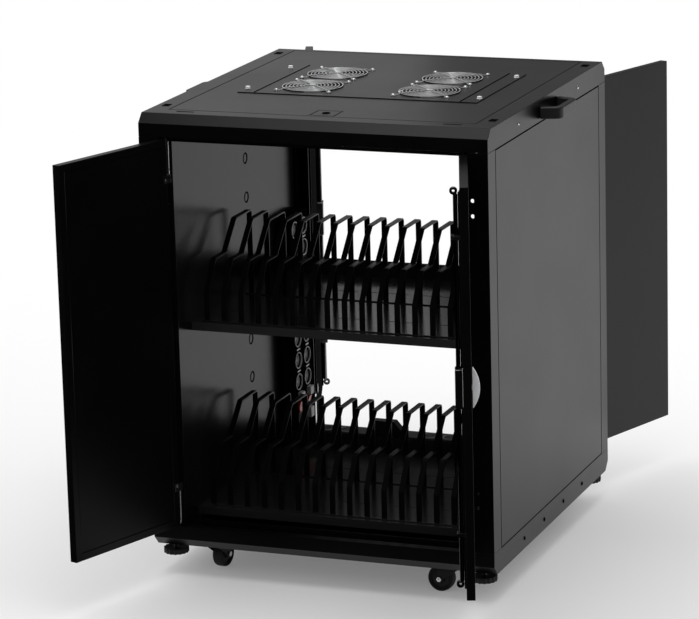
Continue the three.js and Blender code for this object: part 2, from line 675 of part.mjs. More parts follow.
function fanRotor() {
  const low = spiderZ + SEAT_GAP;
  const high = topZ - 3 * SHEET;
  const hubTop = high - SHEET;
  const middle = (low + high) / 2;
  let body = join(
    bar(FAN_HUB_RADIUS, 'z', [0, 0], low, hubTop, 12),
    bar(FAN_SHAFT_RADIUS, 'z', [0, 0], low - 1.5 * SHEET, low + SHEET, 8),
  );
  const tip = FAN_BORE - BLADE_TIP_GAP;
  for (let blade = 0; blade < FAN_BLADES; blade += 1) {
    const reach = (tip + FAN_HUB_RADIUS - SHEET) / 2;
    const span = tip - FAN_HUB_RADIUS + SHEET;
    const leaf = new THREE.BoxGeometry(span, BLADE_CHORD, BLADE_THICKNESS);
    leaf.rotateX(THREE.MathUtils.degToRad(BLADE_PITCH));
    leaf.translate(reach - SHEET, 0, middle);
    leaf.rotateZ(2 * Math.PI * blade / FAN_BLADES);
    body = join(body, solid(leaf));
  }
  return body;
}

cart.add(mesh('fan_plate', fanPlate(), blackCoat()));
fanPlaces.forEach(([x, y], index) => {
  const fan = new THREE.Group();
  fan.position.set(x, y, 0);
  fan.add(mesh(`fan_frame_${index + 1}`, fanFrame(), chrome()));
  fan.add(mesh(`fan_rotor_${index + 1}`, fanRotor(), blackPlastic()));
  cart.add(fan);
});

// Socket strips on the left inner wall, with round sockets and a rocker switch near the lower end
const stripFace = -wallX + STRIP_BODY_DEPTH;
const switchZ = baseZ + STRIP_BOTTOM + SWITCH_RISE;
const rockerX = stripFace - ROCKER_PIVOT_DEPTH;
const wallEndY = halfDepth - railDepth - SHEET;
const rearStripY = wallEndY - STRIP_REAR_GAP - STRIP_BODY_WIDTH / 2;
const stripYs = [rearStripY - STRIP_SPACING, rearStripY];

function socketStrip(y) {
  const low = baseZ + STRIP_BOTTOM;
  const high = baseZ + STRIP_TOP;
  let body = box(-wallX + SEAT_GAP, stripFace, y - STRIP_BODY_WIDTH / 2, y + STRIP_BODY_WIDTH / 2, low, high);
  for (let index = 0; index < SOCKET_COUNT; index += 1) {
    const at = [y, high - SOCKET_TOP_DROP - index * SOCKET_PITCH];
    body = cut(body, bore(SOCKET_RADIUS, 'x', at, stripFace - SOCKET_DEPTH, stripFace + SOCKET_DEPTH, 10));
  }
  const halfWell = ROCKER_WIDTH / 2 + ROCKER_WELL_GAP / 3;
  const tall = ROCKER_HEIGHT / 2 + ROCKER_WELL_GAP;
  const wellBack = rockerX - ROCKER_BACK - 2 * ROCKER_WELL_GAP;
  const pivot = halfWell + 2 * ROCKER_PIVOT_RADIUS;
  return cut(
    body,
    box(wellBack, stripFace + SHEET, y - halfWell, y + halfWell, switchZ - tall, switchZ + tall),
    bore(ROCKER_PIVOT_RADIUS + SEAT_GAP, 'y', [rockerX, switchZ], y - pivot, y + pivot, 8),
  );
}

// Rocker about its pivot: a block with a hollowed face and a stub axle
function rocker() {
  const [tall, width] = [ROCKER_HEIGHT / 2, ROCKER_WIDTH / 2];
  const back = tall - ROCKER_TAPER;
  const face = ROCKER_PIVOT_DEPTH + ROCKER_PROUD;
  const front = [[face, -tall], [face - ROCKER_DISH, 0], [face, tall]];
  const outline = [[-ROCKER_BACK, -back], ...front, [-ROCKER_BACK, back]];
  const stub = width + 2 * ROCKER_PIVOT_RADIUS;
  return join(prism(outline, 'y', -width, width), bar(ROCKER_PIVOT_RADIUS, 'y', [0, 0], -stub, stub, 8));
}

stripYs.forEach((y, index) => {
  cart.add(mesh(`power_strip_${index + 1}`, socketStrip(y), blackPlastic()));
  const toggle = mesh(`strip_switch_${index + 1}`, rocker(), redPlastic());
  toggle.position.set(rockerX, y, switchZ);
  toggle.rotation.y = THREE.MathUtils.degToRad(ROCKER_TILT);
  cart.add(toggle);
});

// Power unit along the rear: a socket channel on legs with a control box and the mains inlet
function rearPowerUnit() {
  const low = baseZ + UNIT_LIFT;
  const high = low + UNIT_HEIGHT;
  const [y0, y1] = [UNIT_Y - UNIT_DEPTH / 2, UNIT_Y + UNIT_DEPTH / 2];
  const x0 = CONTROL_X - CONTROL_WIDTH / 2;
  const x1 = CONTROL_X + CONTROL_WIDTH / 2;
  const control = [
    [x0, high - SHEET], [x1, high - SHEET], [x1, high + SHEET],
    [x1 - CONTROL_SLOPE, high + CONTROL_HEIGHT], [x0, high + CONTROL_HEIGHT],
  ];
  let body = join(
    box(-UNIT_LENGTH / 2, UNIT_LENGTH / 2, y0, y1, low, high),
    prism(control, 'y', y0 + SHEET / 2, y0 + SHEET / 2 + CONTROL_DEPTH),
  );
  for (const side of [-1, 1]) {
    const x = side * UNIT_LEG_SPREAD / 2;
    const half = UNIT_LEG_WIDTH / 2;
    const foot = baseZ + SHEET + SEAT_GAP;
    body = join(body, box(x - half, x + half, y0 + SHEET, y1 - SHEET, foot, low + SHEET));
  }
  const inletZ = (low + high) / 2;
  const [wide, tall] = [INLET_WIDTH / 2, INLET_HEIGHT / 2];
  const pocket = [y1 - INLET_DEPTH, y1 + SHEET];
  return cut(body, box(CONTROL_X - wide, CONTROL_X + wide, ...pocket, inletZ - tall, inletZ + tall));
}
cart.add(mesh('rear_power_unit', rearPowerUnit(), blackPlastic()));

// Doors. Each is built about its hinge axis: u runs along the leaf to the free edge, and the inside
// lies at positive v, which is the group's +Y for one hand and -Y for the other.
const lockU = leafEnd - LOCK_INSET;
const innerFace = DOOR_THICKNESS / 2;
const rodV = rodDepth - axisDepth;
const rollerV = rollerDepth - axisDepth;
const caseBack = rodV + ROD_RADIUS + RUN_GAP + LOCK_WALL;
const slotHalf = ROD_RADIUS + RUN_GAP;

function doorLeaf(hand, withLock) {
  const half = DOOR_THICKNESS / 2;
  const skin = DOOR_SKIN;
  const shell = box(leafStart, leafEnd, -half, half, doorBottomZ, doorTopZ);
  const [roomStart, roomEnd, roomHalf] = [leafStart + skin, leafEnd - skin, half - skin];
  const hollow = box(roomStart, roomEnd, -roomHalf, roomHalf, doorBottomZ - skin, doorTopZ - skin);
  let body = cut(shell, hollow);
  if (!withLock) {
    return body;
  }
  body = cut(body, bore(SPINDLE_RADIUS + SEAT_GAP, 'y', [lockU, lockZ], -2 * half, 2 * half, 12));
  const reach = slotHalf + GUIDE_WALL;
  for (const z of [doorTopZ - UPPER_GUIDE_DROP, doorBottomZ + LOWER_GUIDE_RISE]) {
    const [v0, v1] = spread(hand, innerFace - skin / 2, rodV + reach);
    const [s0, s1] = spread(hand, rodV - slotHalf, rodV + slotHalf);
    const block = box(lockU - reach, lockU + reach, v0, v1, z - GUIDE_HEIGHT / 2, z + GUIDE_HEIGHT / 2);
    const way = box(lockU - slotHalf, lockU + slotHalf, s0, s1, z - GUIDE_HEIGHT, z + GUIDE_HEIGHT);
    body = join(body, cut(block, way));
  }
  return body;
}

// Spring hinge: barrel at the leaf's corner, pin into the tray flange, bracket on the leaf and pull tail
function hinge(hand, upper) {
  const way = upper ? 1 : -1;
  const flange = upper ? lintelZ : sillZ;
  const outer = flange - way * BARREL_GAP;
  const inner = outer - way * BARREL_LENGTH;
  const tip = flange + way * (SHEET + PIN_REACH);
  const between = (a, b) => [Math.min(a, b), Math.max(a, b)];
  const lip = innerFace + SEAT_GAP;
  const tailV = lip + BRACKET_SHEET;
  const trim = SEAT_GAP;
  const bracketEnd = inner - way * BRACKET_PLATE;
  const tailEnd = bracketEnd - way * 2 * TAIL_WIDTH;
  const half = TAIL_WIDTH / 2;
  const web = BARREL_RADIUS - trim;
  const plate = spread(hand, -BARREL_RADIUS / 2, tailV - trim);
  const bracket = between(inner, inner - way * BRACKET_HEIGHT);
  const tailRoot = bracketEnd - way * TAIL_WIDTH;
  return join(
    bar(BARREL_RADIUS, 'z', [0, 0], ...between(outer, inner), 12),
    bar(PIN_RADIUS, 'z', [0, 0], ...between(outer - way, tip), 10),
    box(-BRACKET_HEEL, web, ...plate, ...between(inner + way, bracketEnd)),
    box(-BRACKET_HEEL + trim, BRACKET_REACH, ...spread(hand, lip, tailV), ...bracket),
    box(-half, half, ...spread(hand, -half, half), ...between(bracketEnd + way, tailEnd + way)),
    box(-half + trim, half - trim, ...spread(hand, 0, tailV - 2 * trim), ...between(tailRoot, tailEnd)),
  );
}

function lockCase(hand) {
  const [wide, tall] = [LOCK_CASE_WIDTH / 2, LOCK_CASE_HEIGHT / 2];
  const depth = spread(hand, innerFace + SEAT_GAP, caseBack);
  const way = spread(hand, rodV - slotHalf, rodV + slotHalf);
  return cut(
    box(lockU - wide, lockU + wide, ...depth, lockZ - tall, lockZ + tall),
    box(lockU - slotHalf, lockU + slotHalf, ...way, lockZ - 2 * tall, lockZ + 2 * tall),
    bore(SPINDLE_RADIUS + SEAT_GAP, 'y', [lockU, lockZ], ...spread(hand, 0, rodV), 12),
  );
}

// Swing grip on the outer face: a half-moon lever on a round neck, with a spindle through the leaf
function lockGrip(hand) {
  const face = innerFace + SEAT_GAP;
  const outward = (depth) => -hand * (face + depth);
  const half = GRIP_HEIGHT / 2;
  const steps = 8;
  const curve = [[outward(RUN_GAP), lockZ + half], [outward(RUN_GAP), lockZ - half]];
  for (let step = 0; step <= steps; step += 1) {
    const along = -1 + 2 * step / steps;
    const bow = 1 - along * along;
    curve.push([outward(RUN_GAP + GRIP_TIP + (GRIP_BOW - GRIP_TIP) * bow), lockZ + half * along]);
  }
  const neck = spread(-hand, face, face + GRIP_BOW / 2);
  const spindle = spread(hand, -face - GRIP_TIP, rodV - slotHalf - SEAT_GAP);
  return join(
    prism(curve, 'x', lockU - GRIP_WIDTH / 2, lockU + GRIP_WIDTH / 2),
    bar(GRIP_NECK_RADIUS, 'y', [lockU, lockZ], ...neck, 12),
    bar(SPINDLE_RADIUS, 'y', [lockU, lockZ], ...spindle, 12),
  );
}

// Lock rod with its end roller, slid back into the case and clear of the keeper flange.
// The roller stands off from the rod's axis, so that it rolls behind the flange and the rod clears it.
function lockRod(hand, upper) {
  const way = upper ? 1 : -1;
  const end = upper ? lintelZ - UPPER_ROLLER_DROP : sillZ + LOWER_ROLLER_RISE;
  const start = lockZ + way * SHEET;
  const [rodAt, rollerAt] = [hand * rodV, hand * rollerV];
  const [u0, u1] = [lockU - ROLLER_WIDTH / 2, lockU + ROLLER_WIDTH / 2];
  const rod = bar(ROD_RADIUS, 'z', [lockU, rodAt], Math.min(start, end), Math.max(start, end), 8);
  const roller = bar(ROLLER_RADIUS, 'x', [rollerAt, end], u0, u1, 14);
  const eye = bar(ROLLER_BORE, 'x', [rollerAt, end], u0 - ROLLER_WIDTH, u1 + ROLLER_WIDTH, 8);
  return cut(join(rod, roller), eye);
}

const doorSetups = [
  { name: 'front_left', turn: 0, hand: 1, lock: '' },
  { name: 'front_right', turn: 180, hand: -1, lock: 'front' },
  { name: 'rear_left', turn: 0, hand: -1, lock: 'rear' },
  { name: 'rear_right', turn: 180, hand: 1, lock: '' },
];
for (const { name, turn, hand, lock } of doorSetups) {
  const [sx, sy] = cornerSigns[name];
  const door = new THREE.Group();
  door.position.set(sx * hingeX, sy * (halfDepth - axisDepth), 0);
  door.rotation.z = THREE.MathUtils.degToRad(turn - hand * DOOR_OPEN);
  door.add(mesh(`${name}_door`, doorLeaf(hand, lock !== ''), blackCoat()));
  door.add(mesh(`${name}_upper_hinge`, hinge(hand, true), chrome()));
  door.add(mesh(`${name}_lower_hinge`, hinge(hand, false), chrome()));
  if (lock) {
    door.add(mesh(`${lock}_lock_body`, lockCase(hand), zinc()));
    door.add(mesh(`${lock}_lock_handle`, lockGrip(hand), silver()));
    door.add(mesh(`${lock}_upper_rod`, lockRod(hand, true), zinc()));
    door.add(mesh(`${lock}_lower_rod`, lockRod(hand, false), zinc()));
  }
  cart.add(door);
}

// Casters about the swivel axis, with the wheel trailing along +X
function casterFork() {
  const crownTop = GROUND_GAP - SEAT_GAP;
  const crownLow = crownTop - CROWN_THICKNESS;
  const inner = WHEEL_WIDTH / 2 + WHEEL_HUB_PROUD + RUN_GAP;
  const outer = inner + CHEEK_SHEET;
  const axle = [CASTER_TRAIL, WHEEL_RADIUS];
  const eye = CHEEK_EYE;
  const seat = crownTop - CROWN_THICKNESS / 4;
  const cheek = [
    [-CHEEK_BACK, seat], [CROWN_RADIUS, seat],
    [axle[0] + eye, axle[1] + eye], [axle[0] + eye, axle[1] - eye / 2], [axle[0] + eye / 2, axle[1] - eye],
    [axle[0] - eye / 2, axle[1] - eye], [axle[0] - eye, axle[1] - eye / 2], [-CHEEK_BACK, crownLow - eye / 2],
  ];
  const axleEnd = outer + AXLE_NUT_THICKNESS / 3;
  let body = join(
    bar(CROWN_RADIUS, 'z', [0, 0], crownLow, crownTop, 12),
    bar(STEM_RADIUS, 'z', [0, 0], seat, GROUND_GAP + SHEET + BOSS_HEIGHT, 8),
    bar(AXLE_RADIUS, 'y', axle, -axleEnd, axleEnd, 10),
  );
  for (const side of [-1, 1]) {
    const nut = spread(side, outer - CHEEK_SHEET / 2, outer + AXLE_NUT_THICKNESS);
    body = join(body, prism(cheek, 'y', ...spread(side, inner, outer)));
    body = join(body, bar(AXLE_NUT_RADIUS, 'y', axle, ...nut, 6));
  }
  return body;
}

function casterWheel() {
  const half = WHEEL_WIDTH / 2;
  const hub = half + WHEEL_HUB_PROUD;
  const bore = AXLE_RADIUS + SEAT_GAP;
  const shoulder = WHEEL_RADIUS - TREAD_BEVEL;
  const face = half - TREAD_BEVEL;
  const flank = [
    [bore, hub], [WHEEL_HUB_RADIUS, hub], [shoulder - RIM_WIDTH, face],
    [shoulder, half], [WHEEL_RADIUS, face],
  ];
  const profile = [...flank.map(([r, y]) => [r, -y]), ...flank.reverse(), [bore, -hub]];
  return solid(new THREE.LatheGeometry(profile.map(([r, y]) => new THREE.Vector2(r, y)), 16));
}

// Levelling foot: a scalloped hand disc on a stud that screws into the base
function levellingFoot() {
  const points = [];
  for (let index = 0; index < 2 * FOOT_LOBES; index += 1) {
    const angle = Math.PI * index / FOOT_LOBES;
    const radius = FOOT_RADIUS - (index % 2) * FOOT_SCALLOP;
    points.push([radius * Math.cos(angle), radius * Math.sin(angle)]);
  }
  const studTop = GROUND_GAP + SHEET + BOSS_HEIGHT + FOOT_CLEARANCE;
  return join(
    prism(points, 'z', FOOT_CLEARANCE, FOOT_CLEARANCE + FOOT_THICKNESS),
    bar(STUD_RADIUS, 'z', [0, 0], FOOT_CLEARANCE + FOOT_THICKNESS / 2, studTop, 8),
  );
}

for (const [name, [sx, sy]] of Object.entries(cornerSigns)) {
  const caster = new THREE.Group();
  caster.position.set(sx * (halfWidth - CASTER_INSET_X), sy * (halfDepth - CASTER_INSET_Y), 0);
  caster.rotation.z = THREE.MathUtils.degToRad(CASTER_TURNS[name]);
  caster.add(mesh(`caster_fork_${name}`, casterFork(), blackCoat()));
  const wheel = mesh(`caster_wheel_${name}`, casterWheel(), rubber());
  wheel.position.set(CASTER_TRAIL, 0, WHEEL_RADIUS);
  caster.add(wheel);
  cart.add(caster);
  const foot = mesh(`levelling_foot_${name}`, levellingFoot(), blackPlastic());
  foot.position.set(sx * (halfWidth - FOOT_INSET_X), sy * (halfDepth - FOOT_INSET_Y), 0);
  cart.add(foot);
}

export default cart;
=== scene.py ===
# %% [markdown]
# # Dressing a laptop charging cart
#
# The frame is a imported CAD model: faceted solids that already sit in the right place and move on their
# joints. This lesson keeps the plain folded sheets and gives them soft edges and a powder coat. It models
# anew the pieces whose rounds, wires and small parts a faceted solid can't show.

# %% Load the frame
import math

import bmesh
import bpy
from mathutils import Matrix, Vector


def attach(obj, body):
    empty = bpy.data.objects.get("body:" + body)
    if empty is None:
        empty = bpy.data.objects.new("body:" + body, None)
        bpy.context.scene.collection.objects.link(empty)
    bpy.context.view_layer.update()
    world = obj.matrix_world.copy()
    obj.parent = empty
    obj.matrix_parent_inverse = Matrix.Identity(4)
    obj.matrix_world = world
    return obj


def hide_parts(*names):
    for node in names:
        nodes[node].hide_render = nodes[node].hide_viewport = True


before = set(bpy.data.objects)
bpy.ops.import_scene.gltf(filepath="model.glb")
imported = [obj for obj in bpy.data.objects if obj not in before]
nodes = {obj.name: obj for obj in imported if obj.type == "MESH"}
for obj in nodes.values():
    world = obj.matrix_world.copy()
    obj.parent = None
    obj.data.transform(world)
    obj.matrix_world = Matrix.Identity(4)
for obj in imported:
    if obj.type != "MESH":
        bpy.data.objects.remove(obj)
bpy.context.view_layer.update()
MM = 0.001

# %% [markdown]
# ## The camera
#
# The camera stands in front, to the right and a little above, far away behind a long lens. Its axes come
# from three angles, so its matrix is built from the right, up and backward directions.

# %% Place the camera
AZIMUTH, ELEVATION, ROLL = (math.radians(angle) for angle in (21.045, 14.09, -1.509))
CAMERA_AT = Vector((2.326, -6.225, 2.116))
SENSOR_WIDTH, LENS = 36, 185.48

back = Vector((
    math.sin(AZIMUTH) * math.cos(ELEVATION),
    -math.cos(AZIMUTH) * math.cos(ELEVATION),
    math.sin(ELEVATION),
))
level = Vector((math.cos(AZIMUTH), math.sin(AZIMUTH), 0))
rise = back.cross(level)
right = math.cos(ROLL) * level + math.sin(ROLL) * rise
up = math.cos(ROLL) * rise - math.sin(ROLL) * level
bpy.ops.object.camera_add()
camera = bpy.context.object
camera.matrix_world = Matrix.Translation(CAMERA_AT) @ Matrix((right, up, back)).transposed().to_4x4()
camera.data.sensor_width = SENSOR_WIDTH
camera.data.lens = LENS
bpy.context.scene.camera = camera
print("camera:", tuple(round(value, 3) for value in CAMERA_AT), "lens", LENS)

# %% [markdown]
# ## Writing finishes as expressions
#
# A node tree is easier to read as a formula. One small class wraps an output socket and overloads the
# arithmetic signs, so that `0.3 + 0.1 * cloud` adds its own Math nodes. A second class is one node tree,
# and its `node` method adds any other node: the type, its settings, then what its sockets receive.

# %% A socket that behaves like a number
class Value:
    """An output socket in a node tree, which Python's arithmetic signs turn into Math nodes."""

    def __init__(self, tree, socket):
        self.tree = tree
        self.socket = socket

    def maths(self, operation, first, second):
        return self.tree.node("ShaderNodeMath", {"operation": operation}, {0: first, 1: second})

    def __add__(self, other):
        return self.maths("ADD", self, other)

    def __sub__(self, other):
        return self.maths("SUBTRACT", self, other)

    def __rsub__(self, other):
        return self.maths("SUBTRACT", other, self)

    def __mul__(self, other):
        return self.maths("MULTIPLY", self, other)

    def above(self, other):
        return self.maths("MAXIMUM", self, other)

    __radd__ = __add__
    __rmul__ = __mul__


# %% A node tree that is written as expressions
class Tree:
    """The node tree of a material or of the world."""

    def __init__(self, owner):
        owner.use_nodes = True
        self.nodes = owner.node_tree.nodes
        self.links = owner.node_tree.links

    def node(self, kind, settings=None, sockets=None, output=0):
        """Adds a node, sets it, feeds its sockets and returns one of its outputs."""
        made = self.nodes.new(kind)
        for key, value in (settings or {}).items():
            setattr(made, key, value)
        for key, value in (sockets or {}).items():
            self.feed(made.inputs[key], value)
        return Value(self, made.outputs[output])

    def feed(self, socket, value):
        """Links a socket to another node's output, or gives it a plain value."""
        if isinstance(value, Value):
            self.links.new(value.socket, socket)
        elif socket.type == "RGBA" and len(value) == 3:
            socket.default_value = (*value, 1)
        else:
            socket.default_value = value

    def tint(self, factor, dark, light):
        """A colour between two others."""
        settings = {"data_type": "RGBA"}
        return self.node("ShaderNodeMix", settings, {"Factor": factor, 6: dark, 7: light}, output=2)


class Finish(Tree):
    """A material on Blender's Principled shader, with the record's slot that it belongs to."""

    def __init__(self, name, slot=None):
        self.material = bpy.data.materials.new(name)
        super().__init__(self.material)
        self.slot = slot
        self.shader = self.nodes["Principled BSDF"]
        self.here = self.node("ShaderNodeTexCoord", output="Object")

    def noise(self, scale, detail=2, roughness=0.5, stretch=None):
        """Cloudy noise with about `scale` lumps to the metre, stretched along an axis if asked."""
        where = self.here
        if stretch:
            where = self.node("ShaderNodeMapping", None, {"Vector": where, "Scale": stretch})
        sockets = {"Vector": where, "Scale": scale, "Detail": detail, "Roughness": roughness}
        return self.node("ShaderNodeTexNoise", None, sockets)

    def bump(self, height, depth):
        """Relief of a depth in metres for the shader's Normal."""
        return self.node("ShaderNodeBump", None, {"Height": height, "Distance": depth, "Strength": 1.0})

    def set(self, **sockets):
        """Feeds the shader's sockets, whose names have underscores for spaces here."""
        for key, value in sockets.items():
            self.feed(self.shader.inputs[key.replace("_", " ")], value)


# %% [markdown]
# ## The finishes
#
# The outside is black powder coat: a fine orange-peel skin, satin, with slow changes of gloss. Two noises
# do it, one a millimetre wide for the bump and one a hand wide for the roughness. The inner walls have the
# same coat with more gloss, so they mirror the bright floor behind the cart. The skins inside the doors are
# matte and mirror nothing, so no bright line shows where the eye runs along them.

# %% Powder coats
PEEL_PER_METRE, CLOUDS_PER_METRE = 1400, 5
PEEL_DEPTH, PEEL_SPREAD = 0.00004, 0.05


def grey(value):
    return (value, value, value)


def powder_coat(name, slot, dark, light, rough, spread, level):
    """Paint baked from powder: two greys, a roughness and its spread, and how much the coat mirrors."""
    coat = Finish(name, slot)
    peel = coat.noise(PEEL_PER_METRE, 3)
    cloud = coat.noise(CLOUDS_PER_METRE, 3, 0.6)
    coat.set(
        Base_Color=coat.tint(cloud, grey(dark), grey(light)),
        Roughness=rough + spread * (cloud - 0.5) + PEEL_SPREAD * (peel - 0.5),
        Specular_IOR_Level=level,
        Normal=coat.bump(peel, PEEL_DEPTH),
    )
    return coat


black_coat = powder_coat("black_powder_coat", "black_coat", 0.001, 0.003, 0.33, 0.08, 0.255)
wall_coat = powder_coat("wall_powder_coat", "grey_coat", 0.004, 0.008, 0.20, 0.06, 0.12)
# The shelves' copy of the grey coat is several times lighter than the walls': painted light on the shelf
# floors.
shelf_coat_painted_light = powder_coat("shelf_powder_coat_painted_light", "grey_coat", 0.014, 0.022, 0.14, 0.05, 0.30)
# The dividers' copy is darker than the walls': painted shade on the hoops' unlit front faces.
hoop_coat_painted_shade = powder_coat("divider_powder_coat_painted_shade", "grey_coat", 0.002, 0.004, 0.30, 0.06, 0.14)
skin_coat = powder_coat("door_skin_coat", "black_coat", 0.010, 0.016, 0.6, 0.10, 0.0)
COATS = (black_coat, wall_coat, shelf_coat_painted_light, hoop_coat_painted_shade, skin_coat)
print("coats:", *[coat.material.name for coat in COATS])


# %% [markdown]
# Plated and cast metals differ in how sharp their reflections are. The bright plating is nearly a mirror
# with faint drawn lines. Zinc is greyer and blotchy, and the lock rods are darker steel. The silver lever is
# painted, so it is only partly a metal. The guard wire is plated, but here it too is only partly a metal,
# with a near-white colour that the lamps light all round: a painted sheen in place of its reflections.

# %% Metals
BLOTCHES_PER_METRE = 60
LINE_DEPTH = 0.00001


def metal(name, slot, dark, light, rough, spread, lines, stretch=None, bare=1.0):
    """Metal, bare or partly painted: drawn lines in the gloss, blotches in the colour."""
    made = Finish(name, slot)
    drawn = made.noise(lines, 2, 0.5, stretch)
    blotch = made.noise(BLOTCHES_PER_METRE)
    made.set(
        Base_Color=made.tint(blotch, dark, light),
        Metallic=bare,
        Roughness=rough + spread * (drawn - 0.5),
        Normal=made.bump(drawn, LINE_DEPTH),
    )
    return made


UPRIGHT, LONG_UPRIGHT = (1, 1, 0.2), (1, 1, 0.15)
chrome = metal("bright_plating", "chrome", (0.66, 0.67, 0.69), (0.80, 0.81, 0.82), 0.16, 0.10, 900)
# The guard wire's near-white colour, only partly metal, is a painted sheen standing in for its plating's
# reflections.
guard_wire_painted_sheen = metal("guard_wire_painted_sheen", "chrome", (0.80, 0.81, 0.82), (0.90, 0.90, 0.91), 0.22, 0.10, 900, bare=0.7)
zinc = metal("zinc_plating", "zinc", (0.34, 0.35, 0.36), (0.52, 0.53, 0.54), 0.32, 0.16, 700, UPRIGHT)
rod_steel = metal("rod_steel", "zinc", (0.18, 0.18, 0.19), (0.28, 0.28, 0.29), 0.20, 0.12, 700, UPRIGHT)
silver = metal(
    "satin_silver", "silver", (0.74, 0.75, 0.76), (0.84, 0.84, 0.85), 0.40, 0.10, 800, LONG_UPRIGHT, 0.25,
)
METALS = (chrome, guard_wire_painted_sheen, zinc, rod_steel, silver)
print("metals:", *[made.material.name for made in METALS])


# %% [markdown]
# Plastics carry the grain of their mould, and rubber is duller with dust in it. Both take the same recipe
# with other sizes. The darkest plastic mirrors nothing, like a deep gap. It is the real black of the strips
# and small plastic parts, and painted shade where it lies on the panel seams, in the top's front slots and
# on the fan plate ridges.

# %% Plastics and rubber
PATCHES_PER_METRE = 25
GRAIN_SPREAD = 0.12


def moulded(name, slot, dark, light, rough, grain, depth, level=0.5):
    """Moulded plastic or rubber: grain in the bump and the gloss, a slow change in the colour."""
    made = Finish(name, slot)
    skin = made.noise(grain, 4, 0.6)
    patch = made.noise(PATCHES_PER_METRE)
    made.set(
        Base_Color=made.tint(patch, dark, light),
        Roughness=rough + GRAIN_SPREAD * (skin - 0.5),
        Specular_IOR_Level=level,
        Normal=made.bump(skin, depth),
    )
    return made


# This finish is real black plastic, and painted shade where it lies in seams, slots and on the ridges.
strip_plastic_and_gap_shade = moulded("strip_plastic_and_gap_shade", "black_plastic", grey(0.002), grey(0.004), 0.5, 1800, 0.00005, 0.0)
black_plastic = moulded(
    "black_plastic", "black_plastic", (0.010, 0.010, 0.011), (0.018, 0.018, 0.019), 0.42, 1800, 0.00005,
)
foot_plastic = moulded("foot_plastic", "black_plastic", grey(0.005), grey(0.010), 0.5, 1500, 0.00006, 0.25)
rubber = moulded("wheel_rubber", "rubber", grey(0.006), grey(0.012), 0.62, 900, 0.0001, 0.25)
red_plastic = moulded(
    "red_plastic", "red_plastic", (0.52, 0.010, 0.012), (0.62, 0.018, 0.020), 0.3, 600, 0.00002,
)
white_plastic = moulded("white_plastic", None, (0.34, 0.34, 0.33), (0.44, 0.44, 0.43), 0.4, 900, 0.00002)
rim_plastic = moulded("socket_rim_plastic", None, (0.36, 0.36, 0.37), (0.50, 0.50, 0.51), 0.3, 900, 0.00002)
PLASTICS = (strip_plastic_and_gap_shade, black_plastic, foot_plastic, rubber, red_plastic, white_plastic, rim_plastic)
print("plastics:", *[made.material.name for made in PLASTICS])

# %% [markdown]
# ## Modelling helpers
#
# Three moves make nearly every piece. A block is a cube primitive stretched between two corners. A plate is
# an outline traced by extruding one point, filled and extruded. A turned piece is a profile traced the same
# way and spun round an axis. All sizes are in millimetres, and each piece's place stays in its mesh.

# %% Selecting and rounding
SHARP = math.radians(30)
SAME_PLACE = 0.01 * MM


def hold(piece):
    """Makes one piece the only selected object and the active one."""
    bpy.ops.object.select_all(action="DESELECT")
    bpy.context.view_layer.objects.active = piece
    piece.select_set(True)


def pick(piece, kind, test):
    """In edit mode, selects the edges or faces that pass a test."""
    bpy.ops.mesh.select_mode(type={"edges": "EDGE", "faces": "FACE"}[kind])
    bpy.ops.mesh.select_all(action="DESELECT")
    shape = bmesh.from_edit_mesh(piece.data)
    for item in getattr(shape, kind):
        if test(item):
            item.select_set(True)
    bmesh.update_edit_mesh(piece.data)


def is_sharp(edge):
    return edge.is_manifold and edge.calc_face_angle(0) > SHARP


def round_edges(piece, radius, steps=2, test=is_sharp):
    """Bevels the sharp edges, or those that a test picks."""
    hold(piece)
    bpy.ops.object.mode_set(mode="EDIT")
    pick(piece, "edges", test)
    bpy.ops.mesh.bevel(offset=radius * MM, segments=steps, affect="EDGES", clamp_overlap=True)
    bpy.ops.object.mode_set(mode="OBJECT")
    return piece


# %% Block, plate and turned piece
def block(name, low, high, radius=0, steps=2):
    """A cube primitive stretched between two corners, with rounded edges."""
    low, high = Vector(low) * MM, Vector(high) * MM
    bpy.ops.object.select_all(action="DESELECT")
    bpy.ops.mesh.primitive_cube_add(size=1, location=(low + high) / 2)
    piece = bpy.context.object
    piece.name = name
    piece.scale = high - low
    bpy.ops.object.transform_apply(location=True, rotation=True, scale=True)
    return round_edges(piece, radius, steps) if radius else piece


def trace(name, points):
    """A line of vertices, drawn by extruding one point from place to place. It stays in edit mode."""
    bpy.ops.object.select_all(action="DESELECT")
    bpy.ops.mesh.primitive_plane_add(size=MM, location=Vector(points[0]) * MM)
    piece = bpy.context.object
    piece.name = name
    bpy.ops.object.transform_apply(location=True, rotation=True, scale=True)
    bpy.ops.object.mode_set(mode="EDIT")
    bpy.ops.mesh.select_mode(type="VERT")
    bpy.ops.mesh.select_all(action="SELECT")
    bpy.ops.mesh.merge(type="CENTER")
    for before, after in zip(points, points[1:]):
        step = (Vector(after) - Vector(before)) * MM
        bpy.ops.mesh.extrude_vertices_move(TRANSFORM_OT_translate={"value": step})
    bpy.ops.mesh.select_all(action="SELECT")
    return piece


AXIS_PLACES = {
    "x": lambda a, b, along: (along, a, b),
    "y": lambda a, b, along: (a, along, b),
    "z": lambda a, b, along: (a, b, along),
}


def plate(name, outline, axis, start, stop, radius=0, steps=2):
    """An outline filled and extruded along an axis."""
    spot = AXIS_PLACES[axis]
    piece = trace(name, [spot(a, b, start) for a, b in outline])
    bpy.ops.mesh.edge_face_add()
    reach = Vector(spot(0, 0, stop - start)) * MM
    bpy.ops.mesh.extrude_region_move(TRANSFORM_OT_translate={"value": reach})
    bpy.ops.mesh.select_all(action="SELECT")
    bpy.ops.mesh.normals_make_consistent(inside=False)
    bpy.ops.object.mode_set(mode="OBJECT")
    return round_edges(piece, radius, steps) if radius else piece


